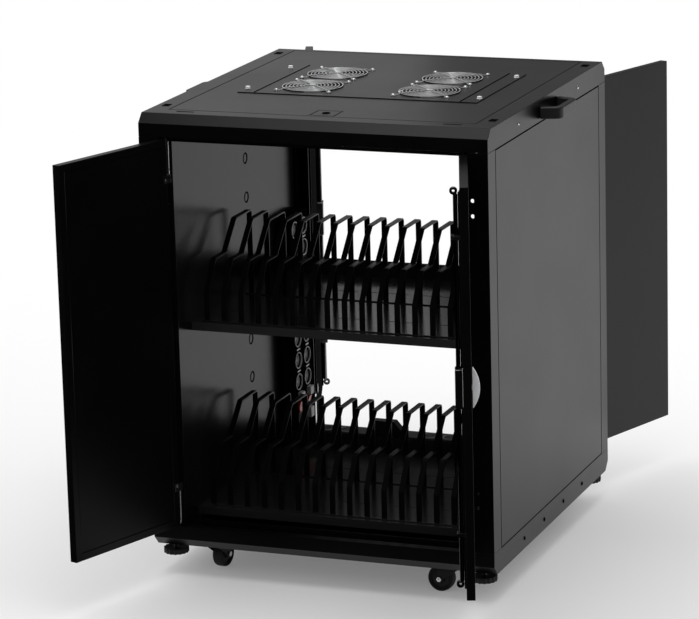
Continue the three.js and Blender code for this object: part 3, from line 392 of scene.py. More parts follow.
def turned(name, profile, sides=32):
    """A profile of (radius, height) points spun round the Z axis."""
    piece = trace(name, [(radius, 0, height) for radius, height in profile])
    bpy.ops.mesh.spin(steps=sides, angle=2 * math.pi, center=(0, 0, 0), axis=(0, 0, 1))
    bpy.ops.mesh.select_all(action="SELECT")
    bpy.ops.mesh.remove_doubles(threshold=SAME_PLACE)
    bpy.ops.mesh.normals_make_consistent(inside=False)
    bpy.ops.object.mode_set(mode="OBJECT")
    return piece


# %% [markdown]
# A finished piece is copied with a mesh of its own, moved inside that mesh, smoothed, painted and set to
# ride on a body. A mirrored copy is inside out, so its faces are turned again.

# %% Moving, joining and settling
SMOOTH_BELOW = math.radians(38)
FLIP_Z = Matrix.Diagonal((1, 1, -1, 1))


def moved(piece, matrix):
    """Moves a piece inside its mesh."""
    piece.data.transform(matrix)
    if matrix.determinant() < 0:
        piece.data.flip_normals()
    return piece


def copied(piece, name, matrix):
    """A copy with its own mesh, moved inside that mesh."""
    twin = piece.copy()
    twin.data = piece.data.copy()
    twin.name = name
    bpy.context.collection.objects.link(twin)
    return moved(twin, matrix)


def at(x, y, z, turn=0, axis="Z"):
    """The matrix of a place in millimetres and a turn in degrees."""
    return Matrix.Translation(Vector((x, y, z)) * MM) @ Matrix.Rotation(math.radians(turn), 4, axis)


def united(name, pieces):
    """Joins pieces into the first of them."""
    hold(pieces[0])
    for piece in pieces:
        piece.select_set(True)
    bpy.ops.object.join()
    pieces[0].name = name
    return pieces[0]


def modified(piece, kind, **settings):
    """Adds a modifier and applies it."""
    hold(piece)
    bpy.ops.object.modifier_add(type=kind)
    modifier = piece.modifiers[-1]
    for key, value in settings.items():
        setattr(modifier, key, value)
    bpy.ops.object.modifier_apply(modifier=modifier.name)
    return piece


def softened(piece, radius, steps, angle=50):
    """Bevels the edges that bend by more than an angle in degrees."""
    bend = {"limit_method": "ANGLE", "angle_limit": math.radians(angle)}
    return modified(piece, "BEVEL", width=radius * MM, segments=steps, **bend)


def settled(piece, finish, body, *stands_for):
    """Smooths and paints a finished piece and lets it ride on a body."""
    hold(piece)
    bpy.ops.object.shade_smooth_by_angle(angle=SMOOTH_BELOW)
    modified(piece, "WEIGHTED_NORMAL", keep_sharp=True)
    piece.data.materials.clear()
    piece.data.materials.append(finish.material)
    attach(piece, body)
    if stands_for:
        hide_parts(*stands_for)
    return piece


def scattered(name, pattern, places, finish):
    """Copies of a pattern at several places of the cabinet, joined to one piece."""
    return settled(united(name, [copied(pattern, name, place) for place in places]), finish, "cabinet")


def dropped(*pieces):
    """Removes a pattern that was only there to be copied."""
    for piece in pieces:
        bpy.data.objects.remove(piece)


# %% [markdown]
# ## Folded sheets
#
# The cabinet's trays, frames, walls and shelves are right as solids, and each keeps its CAD mesh. Real
# folded sheet has no razor edge, so two live modifiers work on top of the mesh: Weld joins the loose
# triangles and Bevel rounds the folds a little, which gives every edge its thin line of light.

# %% Soft folds on the kept solids
FOLD_RADIUS, FOLD_STEPS = 0.7, 2
SHEETS = {
    black_coat: [
        "base_frame", "top_frame", "front_frame", "rear_frame",
        "side_panel_left", "side_panel_right", "fan_plate",
    ],
    wall_coat: ["inner_wall_left", "inner_wall_right"],
    shelf_coat_painted_light: ["upper_shelf", "lower_shelf"],
    strip_plastic_and_gap_shade: ["power_strip_1", "power_strip_2"],
    black_plastic: ["rear_power_unit"],
}


def fold_softly(node):
    weld = node.modifiers.new("weld", "WELD")
    weld.merge_threshold = SAME_PLACE
    fold = node.modifiers.new("fold", "BEVEL")
    fold.width = FOLD_RADIUS * MM
    fold.segments = FOLD_STEPS
    fold.limit_method = "ANGLE"
    fold.angle_limit = SHARP
    fold.harden_normals = True


for coat, names in SHEETS.items():
    for name in names:
        sheet_node = nodes[name]
        sheet_node.data.materials.clear()
        sheet_node.data.materials.append(coat.material)
        fold_softly(sheet_node)
    print(coat.material.name, "on", len(names), "kept nodes")

# %% [markdown]
# ## The doors
#
# A door is a thin steel box: a plain outer skin, and an inner skin set into a folded rim. It starts as a
# block between its hinge edge and its free edge. The inner face is inset twice, the second time nearly a
# millimetre deep. One leaf is made about its hinge axis and copied to the four corners, and mirrored leaves
# open the other way. On three doors a thin matte skin, which is a flat block, lies over the inner face.

# %% Where the doors stand
HINGE_X, HINGE_Y = 286.005, 346.5
DOOR_OPEN = 109.2
LEAF_START, LEAF_END = 6.3, 284.505
LEAF_HALF = 7.5
DOOR_LOW, DOOR_HIGH = 100, 833
CORNERS = {"front_left": (-1, -1), "front_right": (1, -1), "rear_left": (-1, 1), "rear_right": (1, 1)}
DOOR_HANDS = {"front_left": 1, "front_right": -1, "rear_left": -1, "rear_right": 1}
LOCKED = {"front_right": "front", "rear_left": "rear"}
MIRROR_V = {hand: Matrix.Diagonal((1, hand, 1, 1)) for hand in (1, -1)}


def door_place(name):
    """From a door's own axes (along the leaf, inwards, up) to the row frame."""
    side, end = CORNERS[name]
    hand = DOOR_HANDS[name]
    turn = (180 if side > 0 else 0) - hand * DOOR_OPEN
    return at(side * HINGE_X, end * HINGE_Y, 0, turn) @ MIRROR_V[hand]


print("doors stand open by", DOOR_OPEN, "degrees")

# %% One leaf, four doors
RIM, RIM_STEP, LEAF_ROUND = 14, 0.8, 1.3
LONG_EDGE, SHORT_EDGE = 100 * MM, 20 * MM
SKINNED = ("rear_left", "rear_right", "front_right")
SKIN_MARGIN, SKIN_LOW, SKIN_HIGH = 1.4, LEAF_HALF + 0.02, LEAF_HALF + 0.24


def is_leaf_edge(edge):
    """The leaf's long sharp edges, and the short ones at its corners."""
    length = edge.calc_length()
    return is_sharp(edge) and length > LONG_EDGE or length < SHORT_EDGE


leaf = block("leaf", (LEAF_START, -LEAF_HALF, DOOR_LOW), (LEAF_END, LEAF_HALF, DOOR_HIGH))
hold(leaf)
bpy.ops.object.mode_set(mode="EDIT")
pick(leaf, "faces", lambda face: face.normal.y > 0.9)
bpy.ops.mesh.inset(thickness=RIM * MM, depth=0)
bpy.ops.mesh.inset(thickness=RIM_STEP * MM, depth=-RIM_STEP * MM)
bpy.ops.object.mode_set(mode="OBJECT")
round_edges(leaf, LEAF_ROUND, 3, is_leaf_edge)
for name in CORNERS:
    settled(copied(leaf, name + "_leaf", door_place(name)), black_coat, name + "_door", name + "_door")
skin_start = (LEAF_START + SKIN_MARGIN, SKIN_LOW, DOOR_LOW + SKIN_MARGIN)
skin_end = (LEAF_END - SKIN_MARGIN, SKIN_HIGH, DOOR_HIGH - SKIN_MARGIN)
skin = block("skin", skin_start, skin_end, 0.08)
for name in SKINNED:
    settled(copied(skin, name + "_skin", door_place(name)), skin_coat, name + "_door")
dropped(leaf, skin)
print("doors:", len(CORNERS), "leaves,", len(SKINNED), "skins")

# %% [markdown]
# ## The hinges
#
# Each door turns on two spring hinges. A plated barrel holds a pin that reaches into the tray, a folded
# bracket fixes it to the leaf, and a small pull at the end draws the pin back. The barrel and the pull are
# turned, with grooves that catch the light. The bracket is two blocks and a rivet. The lower hinge is the
# upper one turned over.

# %% Barrel, bracket and pull
FLANGE_TOP, FLANGE_LOW = 836, 98
barrel_end = FLANGE_TOP - 4
barrel_start = barrel_end - 65
barrel = turned("barrel", [
    (0, FLANGE_TOP + 4), (2.2, FLANGE_TOP + 4), (3, FLANGE_TOP + 3), (3, barrel_end), (5.4, barrel_end),
    (6, barrel_end - 0.8), (6, barrel_end - 7), (5.3, barrel_end - 7.6), (5.3, barrel_end - 9),
    (5.8, barrel_end - 9.6), (5.8, barrel_start + 10), (5.3, barrel_start + 9.4), (5.3, barrel_start + 8),
    (6, barrel_start + 7.4), (6, barrel_start + 0.8), (5.4, barrel_start), (0, barrel_start),
], 24)
pull = turned("pull", [
    (0, barrel_start - 2), (2, barrel_start - 2), (2, barrel_start - 7), (3, barrel_start - 8),
    (3, barrel_start - 9.6), (2, barrel_start - 10.6), (0, barrel_start - 10.6),
], 16)
barrel = united("barrel", [barrel, pull])
bracket = united("bracket", [
    block("web", (-1.9, -3, barrel_start - 2.6), (5.6, 9, barrel_start - 0.2), 0.6),
    block("lip", (-1.7, 7.8, barrel_start - 15.8), (17.8, 9.4, barrel_start - 0.4), 0.6),
    moved(turned("rivet", [(0, 1.4), (1.6, 1.2), (2.6, 0.5), (2.8, 0), (0, 0)], 12),
          at(12.5, 9.4, barrel_start - 10, -90, "X")),
])
turn_over = Matrix.Translation((0, 0, (FLANGE_TOP + FLANGE_LOW) * MM)) @ FLIP_Z
for name in CORNERS:
    for end, flip in (("upper", Matrix.Identity(4)), ("lower", turn_over)):
        place = door_place(name) @ flip
        node = f"{name}_{end}_hinge"
        settled(copied(barrel, node + "_barrel", place), chrome, name + "_door", node)
        settled(copied(bracket, node + "_bracket", place), zinc, name + "_door")
dropped(barrel, bracket)
print("hinges:", 2 * len(CORNERS))

# %% [markdown]
# ## The lock
#
# One door of each pair carries a lock. A half-moon lever outside turns a spindle, and the case behind it
# drives two rods up and down. Rollers at the rod ends hook behind the tray flanges. The lever is a bowed
# plate with a bevel. The case is a block with the rods' way cut through it. The rod is turned, its roller is
# a ring, and a dark rail lies behind it on the door.

# %% The lever
LOCK_U, LOCK_Z = LEAF_END - 28, 476
LEVER_HALF, LEVER_BOW, LEVER_HALF_WIDTH = 35.4, 11.6, 5.9
LEVER_FOOT, LEVER_EDGE = -LEAF_HALF - 1.2, 1.4
lever_steps = [-1 + step / 10 for step in range(21)]
lever_bow = [
    (LEVER_FOOT - LEVER_EDGE - LEVER_BOW * (1 - s * s), LOCK_Z + LEVER_HALF * s) for s in lever_steps
]
lever_line = lever_bow + [(LEVER_FOOT, LOCK_Z + LEVER_HALF), (LEVER_FOOT, LOCK_Z - LEVER_HALF)]
lever = plate("lever", lever_line, "x", LOCK_U - LEVER_HALF_WIDTH, LOCK_U + LEVER_HALF_WIDTH)
lever = softened(lever, 1.0, 3)
neck = turned("neck", [(0, 0), (5.4, 0), (5.4, 4), (0, 4)], 24)
moved(neck, at(LOCK_U, -LEAF_HALF - 0.4, LOCK_Z, 90, "X"))
lever = united("lever", [lever, neck])
print("lever:", len(lever.data.vertices), "vertices")

# %% The case, the rod guides and the rails
ROD_V, ROLLER_V = 15, 18
CASE_HALF_WIDTH, CASE_HALF, CASE_BACK = 13.9, 34.8, 21.1
WAY, WAY_REACH = 5.05, 50
GUIDE_ZS = (DOOR_HIGH - 92, DOOR_LOW + 112)
GUIDE_HALF, GUIDE_HALF_WIDTH, GUIDE_BACK, BRIDGE_BACK = 3.9, 7.4, 21, 22.4
RAIL_HALF_WIDTH, RAIL_BACK = 4.8, ROD_V - 4.1
RAILS = ((DOOR_LOW + 14, LOCK_Z - 35.3), (LOCK_Z + 35.3, DOOR_HIGH - 14))
proud, sunk = LEAF_HALF + 0.4, LEAF_HALF - 0.4
case = block(
    "case", (LOCK_U - CASE_HALF_WIDTH, proud, LOCK_Z - CASE_HALF),
    (LOCK_U + CASE_HALF_WIDTH, CASE_BACK, LOCK_Z + CASE_HALF), 1.6, 3,
)
way = block(
    "way", (LOCK_U - WAY, ROD_V - WAY, LOCK_Z - WAY_REACH), (LOCK_U + WAY, ROD_V + WAY, LOCK_Z + WAY_REACH),
)
modified(case, "BOOLEAN", object=way, operation="DIFFERENCE", solver="EXACT")
dropped(way)
guides = []
for guide_z in GUIDE_ZS:
    low, high = guide_z - GUIDE_HALF, guide_z + GUIDE_HALF
    for near, far in ((-GUIDE_HALF_WIDTH, -WAY), (WAY, GUIDE_HALF_WIDTH)):
        guides.append(block("guide", (LOCK_U + near, sunk, low), (LOCK_U + far, GUIDE_BACK, high), 0.6))
    near, far = LOCK_U - GUIDE_HALF_WIDTH, LOCK_U + GUIDE_HALF_WIDTH
    guides.append(block("guide", (near, ROD_V + WAY, low), (far, BRIDGE_BACK, high), 0.6))
guide = united("guide", guides)
rail = united("rail", [
    block("rail", (LOCK_U - RAIL_HALF_WIDTH, sunk, low), (LOCK_U + RAIL_HALF_WIDTH, RAIL_BACK, high), 0.5)
    for low, high in RAILS
])
print("lock: case", len(case.data.vertices), "vertices,", len(GUIDE_ZS), "guides,", len(RAILS), "rails")


# %% Rods with their rollers
def rod(sense, roller_z):
    """A lock rod from the case to its roller, which stands a little further in than the rod."""
    start, end = LOCK_Z + 2 * sense, roller_z - 4.6 * sense
    shank = turned("rod", [(0, start), (4, start), (4, end - 2 * sense), (3, end), (0, end)], 18)
    roller = turned("roller", [
        (2.5, -2.9), (6.2, -2.9), (6.9, -2), (6.9, 2), (6.2, 2.9), (2.5, 2.9), (2.5, -2.9),
    ], 28)
    moved(shank, at(LOCK_U, ROD_V, 0))
    moved(roller, at(LOCK_U, ROLLER_V, roller_z, 90, "Y"))
    return united("rod", [shank, roller])


upper_rod = rod(1, FLANGE_TOP - 14)
lower_rod = rod(-1, FLANGE_LOW + 24)
for name, end in LOCKED.items():
    place = door_place(name)
    settled(copied(lever, end + "_lever", place), silver, end + "_lock_handle", end + "_lock_handle")
    settled(copied(case, end + "_lock_case", place), zinc, name + "_door", end + "_lock_body")
    settled(copied(guide, end + "_rod_guides", place), zinc, name + "_door")
    settled(copied(rail, end + "_rod_rails", place), strip_plastic_and_gap_shade, name + "_door")
    settled(copied(upper_rod, end + "_rod_up", place), rod_steel, end + "_upper_rod", end + "_upper_rod")
    settled(copied(lower_rod, end + "_rod_down", place), rod_steel, end + "_lower_rod", end + "_lower_rod")
dropped(lever, case, guide, rail, upper_rod, lower_rod)
print("locks:", len(LOCKED))

# %% [markdown]
# ## The laptop dividers
#
# Every divider is one steel strip bent into a stepped hoop: up at the back, along, down a slope, along again
# and down to the front. The strip's centre line is traced with a small arc at each bend and extruded to its
# width. Solidify gives it its thickness and a bevel takes the edge off. One hoop is copied along both
# shelves, and two flat bars tie the feet of each row.


# %% Lines with rounded bends
def bent(points, radius, steps=4):
    """The same line with an arc in place of each corner."""
    line = [Vector(points[0])]
    for before, corner, after in zip(points, points[1:], points[2:]):
        corner = Vector(corner)
        into = (Vector(before) - corner).normalized()
        out = (Vector(after) - corner).normalized()
        half = into.angle(out) / 2
        reach = radius / math.tan(half)
        centre = corner + (into + out).normalized() * radius / math.sin(half)
        first, last = corner + into * reach - centre, corner + out * reach - centre
        for step in range(steps + 1):
            line.append(centre + radius * first.slerp(last, step / steps).normalized())
    return line + [Vector(points[-1])]


# %% One hoop, two shelves
SHELF_FLOORS = {"upper": 457, "lower": 97}
HOOP_PITCH, HOOPS_EACH_SIDE = 34.5, 8
HOOP_WIDTH, HOOP_THICKNESS, HOOP_BEND = 10.8, 2.8, 6
HOOP_BACK, HOOP_FRONT, HOOP_FOOT = 15, -205, 1.4
BAR_HALF_DEPTH, BAR_LOW, BAR_HIGH, BAR_OVERHANG = 6, 0.3, 2.3, 11
hoop_line = bent([
    (0, HOOP_BACK, HOOP_FOOT), (0, HOOP_BACK, 166), (0, -62, 166), (0, -115, 111), (0, -167, 111),
    (0, HOOP_FRONT, 55), (0, HOOP_FRONT, HOOP_FOOT),
], HOOP_BEND)
hoop = trace("hoop", [point - Vector((HOOP_WIDTH / 2, 0, 0)) for point in hoop_line])
bpy.ops.mesh.extrude_region_move(TRANSFORM_OT_translate={"value": (HOOP_WIDTH * MM, 0, 0)})
bpy.ops.mesh.select_all(action="SELECT")
bpy.ops.mesh.normals_make_consistent(inside=False)
bpy.ops.object.mode_set(mode="OBJECT")
modified(hoop, "SOLIDIFY", thickness=HOOP_THICKNESS * MM, offset=0)
softened(hoop, 0.5, 2)
bar_half = HOOPS_EACH_SIDE * HOOP_PITCH + BAR_OVERHANG
foot_bars = united("foot_bars", [
    block("bar", (-bar_half, y - BAR_HALF_DEPTH, BAR_LOW), (bar_half, y + BAR_HALF_DEPTH, BAR_HIGH), 0.5)
    for y in (HOOP_BACK, HOOP_FRONT)
])
for shelf, floor in SHELF_FLOORS.items():
    node = shelf + "_dividers"
    settled(copied(foot_bars, shelf + "_foot_bars", at(0, 0, floor)), shelf_coat_painted_light, "cabinet", node)
    for index in range(-HOOPS_EACH_SIDE, HOOPS_EACH_SIDE + 1):
        name = f"{shelf}_hoop_{index + HOOPS_EACH_SIDE + 1:02d}"
        settled(copied(hoop, name, at(index * HOOP_PITCH, 0, floor)), hoop_coat_painted_shade, "cabinet")
print("dividers:", 2 * (2 * HOOPS_EACH_SIDE + 1), "hoops of", len(hoop.data.polygons), "faces")
dropped(hoop, foot_bars)

# %% [markdown]
# ## The fans
#
# Four fans hang under the plate in the top. What shows is the plated wire guard: rings of wire under four
# diagonal legs, which end in eyes under the screws. Rings are torus primitives, and a leg is a traced line
# with a round bevel. Below lie the shroud, the motor struts and the seven blades, each a strip that twists
# from the hub to its tip.

# %% Wire in rings and along lines
FANS = [(-116, -39.5), (116, -39.5), (-116, 91.5), (116, 91.5)]
PLATE_TOP = 879.5
WIRE = 0.85


def wire_ring(radius, z, around=40):
    """A ring of round wire."""
    bpy.ops.object.select_all(action="DESELECT")
    bpy.ops.mesh.primitive_torus_add(
        major_radius=radius * MM, minor_radius=WIRE * MM, major_segments=around, minor_segments=6,
        location=(0, 0, z * MM),
    )
    bpy.ops.object.transform_apply(location=True, rotation=True, scale=True)
    return bpy.context.object


def wire_along(name, points):
    """Round wire along a line: the line becomes a curve with a bevel, and then a mesh again."""
    piece = trace(name, points)
    bpy.ops.object.mode_set(mode="OBJECT")
    bpy.ops.object.convert(target="CURVE")
    piece = bpy.context.object
    piece.data.bevel_depth = WIRE * MM
    piece.data.bevel_resolution = 1
    piece.data.use_fill_caps = True
    bpy.ops.object.convert(target="MESH")
    return bpy.context.object


# %% The wire guard
RING_Z, LEG_Z, EYE_Z = PLATE_TOP + 2.1, PLATE_TOP + 3.9, PLATE_TOP + 1.1
RINGS, FIRST_RING, RING_REACH = 8, 10, 47
SCREW_REACH = 52.5
leg_end = SCREW_REACH * math.sqrt(2)
leg_line = bent([
    (5, 0, LEG_Z), (leg_end - 16, 0, LEG_Z), (leg_end - 9, 0, EYE_Z), (leg_end - 3, 0, EYE_Z),
], 4)
guard_screw = turned("screw", [
    (0, 3.6), (2.2, 3.4), (3.4, 2.4), (3.7, 1.2), (3.7, 0), (1.8, 0), (1.8, -9), (0, -9),
], 16)
leg = united("leg", [
    wire_along("wire", leg_line),
    moved(wire_ring(3.4, EYE_Z, 16), at(leg_end, 0, 0)),
    moved(guard_screw, at(leg_end, 0, PLATE_TOP + 0.6)),
])
badge = turned("badge", [(0, 0.9), (4, 0.7), (6, 0), (6.4, -0.7), (6, -1.2), (0, -1.2)], 28)
guard = united("guard", [
    *[wire_ring(FIRST_RING + RING_REACH * ring / (RINGS - 1), RING_Z) for ring in range(RINGS)],
    moved(badge, at(0, 0, LEG_Z)),
    *[copied(leg, "leg", at(0, 0, 0, 45 + 90 * quarter)) for quarter in range(4)],
])
dropped(leg)
print("guard:", RINGS, "rings,", len(guard.data.polygons), "faces")

# %% The shroud and the struts
FAN_HIGH, FAN_LOW, FAN_HALF = 877.7, 839.7, 60
shroud = block("shroud", (-FAN_HALF, -FAN_HALF, FAN_LOW), (FAN_HALF, FAN_HALF, FAN_HIGH), 3, 2)
bore = turned("bore", [
    (0, FAN_LOW - 5), (58, FAN_LOW - 5), (57.2, FAN_HIGH - 6), (58, FAN_HIGH + 5), (0, FAN_HIGH + 5),
], 48)
modified(shroud, "BOOLEAN", object=bore, operation="DIFFERENCE", solver="EXACT")
dropped(bore)
struts = [block("strut", (14, -2.5, FAN_LOW + 0.6), (FAN_HALF, 2.5, FAN_LOW + 3.4), 0.6)]
struts += [copied(struts[0], "strut", at(0, 0, 0, turn)) for turn in (90, 180, 270)]
motor_low, motor_high = FAN_LOW + 0.4, FAN_LOW + 3.8
motor = turned("motor", [
    (3, motor_low), (18.4, motor_low), (18.8, motor_high), (3, motor_high), (3, motor_low),
], 28)
shroud = united("shroud", [shroud, motor, *struts])
print("shroud:", len(struts), "struts,", len(shroud.data.polygons), "faces")

# %% The blades
BLADES, BLADE_STEPS, BLADE_THICKNESS = 7, 5, 1.6
HUB_TOP, HUB_LOW = 869.6, 844.2
blade = trace("blade", [
    (17, -9, HUB_LOW + 6), (17, -3, HUB_LOW + 8.5), (17, 3, HUB_LOW + 12), (17, 8, HUB_LOW + 16.5),
])
for step in range(BLADE_STEPS):
    bpy.ops.mesh.extrude_region_move(TRANSFORM_OT_translate={"value": (7.4 * MM, -0.6 * MM, -0.5 * MM)})
    shape = bmesh.from_edit_mesh(blade.data)
    tip = [vertex.co for vertex in shape.verts if vertex.select]
    bpy.ops.transform.resize(value=(1, 1.1, 0.9), center_override=sum(tip, Vector()) / len(tip))
bpy.ops.object.mode_set(mode="OBJECT")
modified(blade, "SOLIDIFY", thickness=BLADE_THICKNESS * MM, offset=0)
modified(blade, "SUBSURF", levels=1, render_levels=1)
hub = turned("hub", [
    (2.6, HUB_LOW), (18.6, HUB_LOW), (18.6, HUB_TOP - 2), (17, HUB_TOP - 0.6), (14, HUB_TOP), (0, HUB_TOP),
    (0, HUB_LOW - 1), (2.6, HUB_LOW - 1), (2.6, HUB_LOW),
], 36)
blades = [copied(blade, "blade", at(0, 0, 0, 360 * index / BLADES)) for index in range(BLADES)]
rotor = united("rotor", [hub, *blades])
dropped(blade)
for index, (x, y) in enumerate(FANS, 1):
    place = at(x, y, 0)
    spinning = f"fan_rotor_{index}"
    settled(copied(guard, f"fan_guard_{index}", place), guard_wire_painted_sheen, "cabinet", f"fan_frame_{index}")
    settled(copied(shroud, f"fan_shroud_{index}", place), black_plastic, "cabinet")
    settled(copied(rotor, f"fan_blades_{index}", place), black_plastic, spinning, spinning)
dropped(guard, shroud, rotor)
print("fans:", len(FANS), "with", BLADES, "blades each")

# %% [markdown]
# ## Handles on the sides
#
# The pull handles are moulded bows. The outline seen from above is the one the solid has, drawn as half a
# bow and half a gap that are mirrored, and a wide bevel rounds it for the hand.

# %% Pull handles
BODY_HALF = 335
HANDLE_LOW, HANDLE_HIGH = 841, 863
foot_x, grip_x = BODY_HALF + 0.3, BODY_HALF + 40
half_bow = [(foot_x, 58), (grip_x - 13, 51.5), (grip_x - 4, 47), (grip_x, 40)]
half_gap = [(foot_x, 45), (grip_x - 18, 39.5), (grip_x - 13, 33)]
bow = [(x, -y) for x, y in half_bow] + half_bow[::-1] + half_gap + [(x, -y) for x, y in half_gap[::-1]]
pull_handle = softened(plate("handle", bow, "z", HANDLE_LOW, HANDLE_HIGH), 2.6, 3, 25)
for side, turn in (("right", 0), ("left", 180)):
    twin = copied(pull_handle, f"pull_handle_{side}", at(0, 0, 0, turn))
    settled(twin, black_plastic, "cabinet", f"side_handle_{side}")
dropped(pull_handle)
print("pull handles: 2")

# %% [markdown]
# ## Power fittings
#
# The strips keep their solids, which have a round recess for each socket. A moulded rim is set round each
# recess with a shutter at its bottom, a small bridge joins each socket to the next, and a white tile sits
# above and below each red rocker. The long unit at the rear has the same rims along its top.

# %% Socket rims
STRIP_FACE, STRIP_YS, RECESS = -276, (246, 293), 2.98
SOCKET_TOP, SOCKET_PITCH, SOCKETS = 531, 44.6, 8
UNIT_TOP, UNIT_Y, UNIT_START, UNIT_PITCH = 119, 275, -230, 44
UNIT_SOCKETS = (0, 1, 5, 6, 7, 8, 9, 10)
rim = turned("rim", [
    (15.1, -1.4), (15.1, 0.7), (15.6, 1.2), (16.6, 1.2), (17.1, 0.6), (17.1, 0.02), (15.4, 0.02),
    (15.4, -1.4), (15.1, -1.4),
], 36)
pin = turned("pin", [(2.1, 0.4), (2.1, 0.9), (3, 0.9), (3.3, 0.4), (2.1, 0.4)], 14)
shutter = united("shutter", [
    turned("disc", [(0, 0.5), (10.6, 0.5), (11.2, 0), (0, 0)], 28),
    *[copied(pin, "pin", at(x, 0, 0)) for x in (-6, 6)],
])
strip_spots = [(y, SOCKET_TOP - index * SOCKET_PITCH) for y in STRIP_YS for index in range(SOCKETS)]
strip_rims = [at(STRIP_FACE, y, z, 90, "Y") for y, z in strip_spots]
strip_shutters = [at(STRIP_FACE - RECESS, y, z, 90, "Y") for y, z in strip_spots]
unit_spots = [at(UNIT_START + UNIT_PITCH * index, UNIT_Y, UNIT_TOP) for index in UNIT_SOCKETS]
scattered("strip_socket_rims", rim, strip_rims, rim_plastic)
scattered("strip_socket_shutters", shutter, strip_shutters, black_plastic)
scattered("unit_socket_rims", rim, unit_spots, rim_plastic)
scattered("unit_socket_shutters", shutter, unit_spots, black_plastic)
dropped(rim, pin, shutter)
print("sockets:", len(strip_spots), "on the strips,", len(unit_spots), "on the unit")

# %% Rockers and their white tiles
SWITCH_Z, ROCKER_X, ROCKER_TIP = 169, -281, 6
bridge = block("bridge", (0.02, -8, -1.6), (0.9, 8, 1.6), 0.4)
bridge_spots = [at(STRIP_FACE, y, z - SOCKET_PITCH / 2) for y, z in strip_spots]
scattered("strip_bridges", bridge, bridge_spots, rim_plastic)
tiles = united("tiles", [
    block("tile", (0.1, -8.6, low), (9.4, 8.6, high), 1, 3) for low, high in ((13.2, 30), (-34, -13.2))
])
rocker_side = [
    (-3.9, -8.6), (9.1, -10.8), (9.4, -10), (8, -4), (7.6, 0), (8, 4), (9.4, 10), (9.1, 10.8), (-3.9, 8.6),
]
rocker = plate("rocker", rocker_side, "y", -6.3, 6.3, 0.5, 2)
for index, y in enumerate(STRIP_YS, 1):
    switch = f"strip_switch_{index}"
    settled(copied(tiles, f"switch_tiles_{index}", at(STRIP_FACE, y, SWITCH_Z)), white_plastic, "cabinet")
    twin = copied(rocker, f"rocker_{index}", at(ROCKER_X, y, SWITCH_Z, ROCKER_TIP, "Y"))
    settled(twin, red_plastic, switch, switch)
dropped(bridge, tiles, rocker)
print("rockers:", len(STRIP_YS), "with", len(bridge_spots), "bridges")

# %% [markdown]
# ## Casters
#
# Each caster is a pressed fork that swivels on a stem, with a tyre on a hub between its cheeks. The crown is
# turned, with a bearing ring. A cheek is a plate whose outline runs from the crown to a round eye at the
# axle. The tyre is turned from a profile with rounded shoulders.

# %% The fork
TRAIL, WHEEL_RADIUS = 23, 25
CASTER_TURNS = {"front_left": 82, "front_right": 176, "rear_left": 200, "rear_right": 60}
CASTER_X, CASTER_Y = 235, 295
EYE_RADIUS, EYE_STEPS, NUT_RADIUS = 7.6, 10, 5.2


def round_points(radius, angles, x=0, y=0):
    """Points on a circle at the given angles."""
    return [(x + radius * math.cos(angle), y + radius * math.sin(angle)) for angle in angles]


crown = turned("crown", [
    (0, 55.4), (4.8, 55.4), (4.8, 55.7), (22.6, 55.7), (23.8, 54.9), (23.8, 52.6), (22.8, 51.8), (16, 51.8),
    (15.4, 49.6), (0, 49.6),
], 36)
stem = turned("stem", [(0, 71.8), (4.2, 71.8), (4.8, 71), (4.8, 55), (0, 55)], 16)
eye_angles = [math.pi * (0.25 - 1.25 * step / EYE_STEPS) for step in range(EYE_STEPS + 1)]
eye = round_points(EYE_RADIUS, eye_angles, TRAIL, WHEEL_RADIUS)
cheek = plate("cheek", [(-16.6, 54.4), (23.4, 54.4), *eye, (-16.6, 48)], "y", 11.4, 13.7, 0.6, 2)
arms = united("fork", [crown, stem, cheek, copied(cheek, "cheek", MIRROR_V[-1])])
nut_line = round_points(NUT_RADIUS, [corner * math.pi / 3 for corner in range(6)])
nut = plate("nut", nut_line, "z", 13.5, 16.4, 0.5, 2)
bolt = turned("bolt", [(0, 16.9), (2.2, 16.6), (2.8, 16), (2.8, -16), (2.2, -16.6), (0, -16.9)], 16)
axle = united("axle", [nut, bolt, copied(nut, "nut", FLIP_Z)])
moved(axle, at(TRAIL, 0, WHEEL_RADIUS, 90, "X"))
print("fork:", len(arms.data.polygons), "faces")

# %% The wheel
tyre_half = [(19.4, 7.4), (20.4, 9.2), (22, 9.9), (23.6, 9.4), (24.6, 7.6), (25, 4.6)]
tyre_mirrored = [(radius, -y) for radius, y in tyre_half[::-1]]
tyre = turned("tyre", [*tyre_half, (25, 0), *tyre_mirrored, tyre_half[0]], 48)
hub_half = [(3.3, 10.4), (8.4, 10.4), (9, 9.8), (9.4, 7), (17.4, 6.2), (18.2, 7.8), (19.6, 7.8)]
hub_mirrored = [(radius, -y) for radius, y in hub_half[::-1]]
wheel_hub = turned("hub", [*hub_half, *hub_mirrored, hub_half[0]], 36)
for name, (side, end) in CORNERS.items():
    swivel = at(side * CASTER_X, end * CASTER_Y, 0, CASTER_TURNS[name])
    roll = swivel @ at(TRAIL, 0, WHEEL_RADIUS, 90, "X")
    fork, wheel = "caster_fork_" + name, "caster_wheel_" + name
    settled(copied(arms, f"caster_arms_{name}", swivel), black_coat, fork, fork)
    settled(copied(axle, f"caster_axle_{name}", swivel), chrome, fork)
    settled(copied(tyre, f"caster_tyre_{name}", roll), rubber, wheel, wheel)
    settled(copied(wheel_hub, f"caster_hub_{name}", roll), foot_plastic, wheel)
dropped(arms, axle, tyre, wheel_hub)
print("casters:", len(CORNERS))

# %% [markdown]
# ## Levelling feet
#
# A foot is a scalloped hand wheel on a threaded stud. The scallops are a wave on the outline, and the thread
# is a saw-tooth profile, turned.

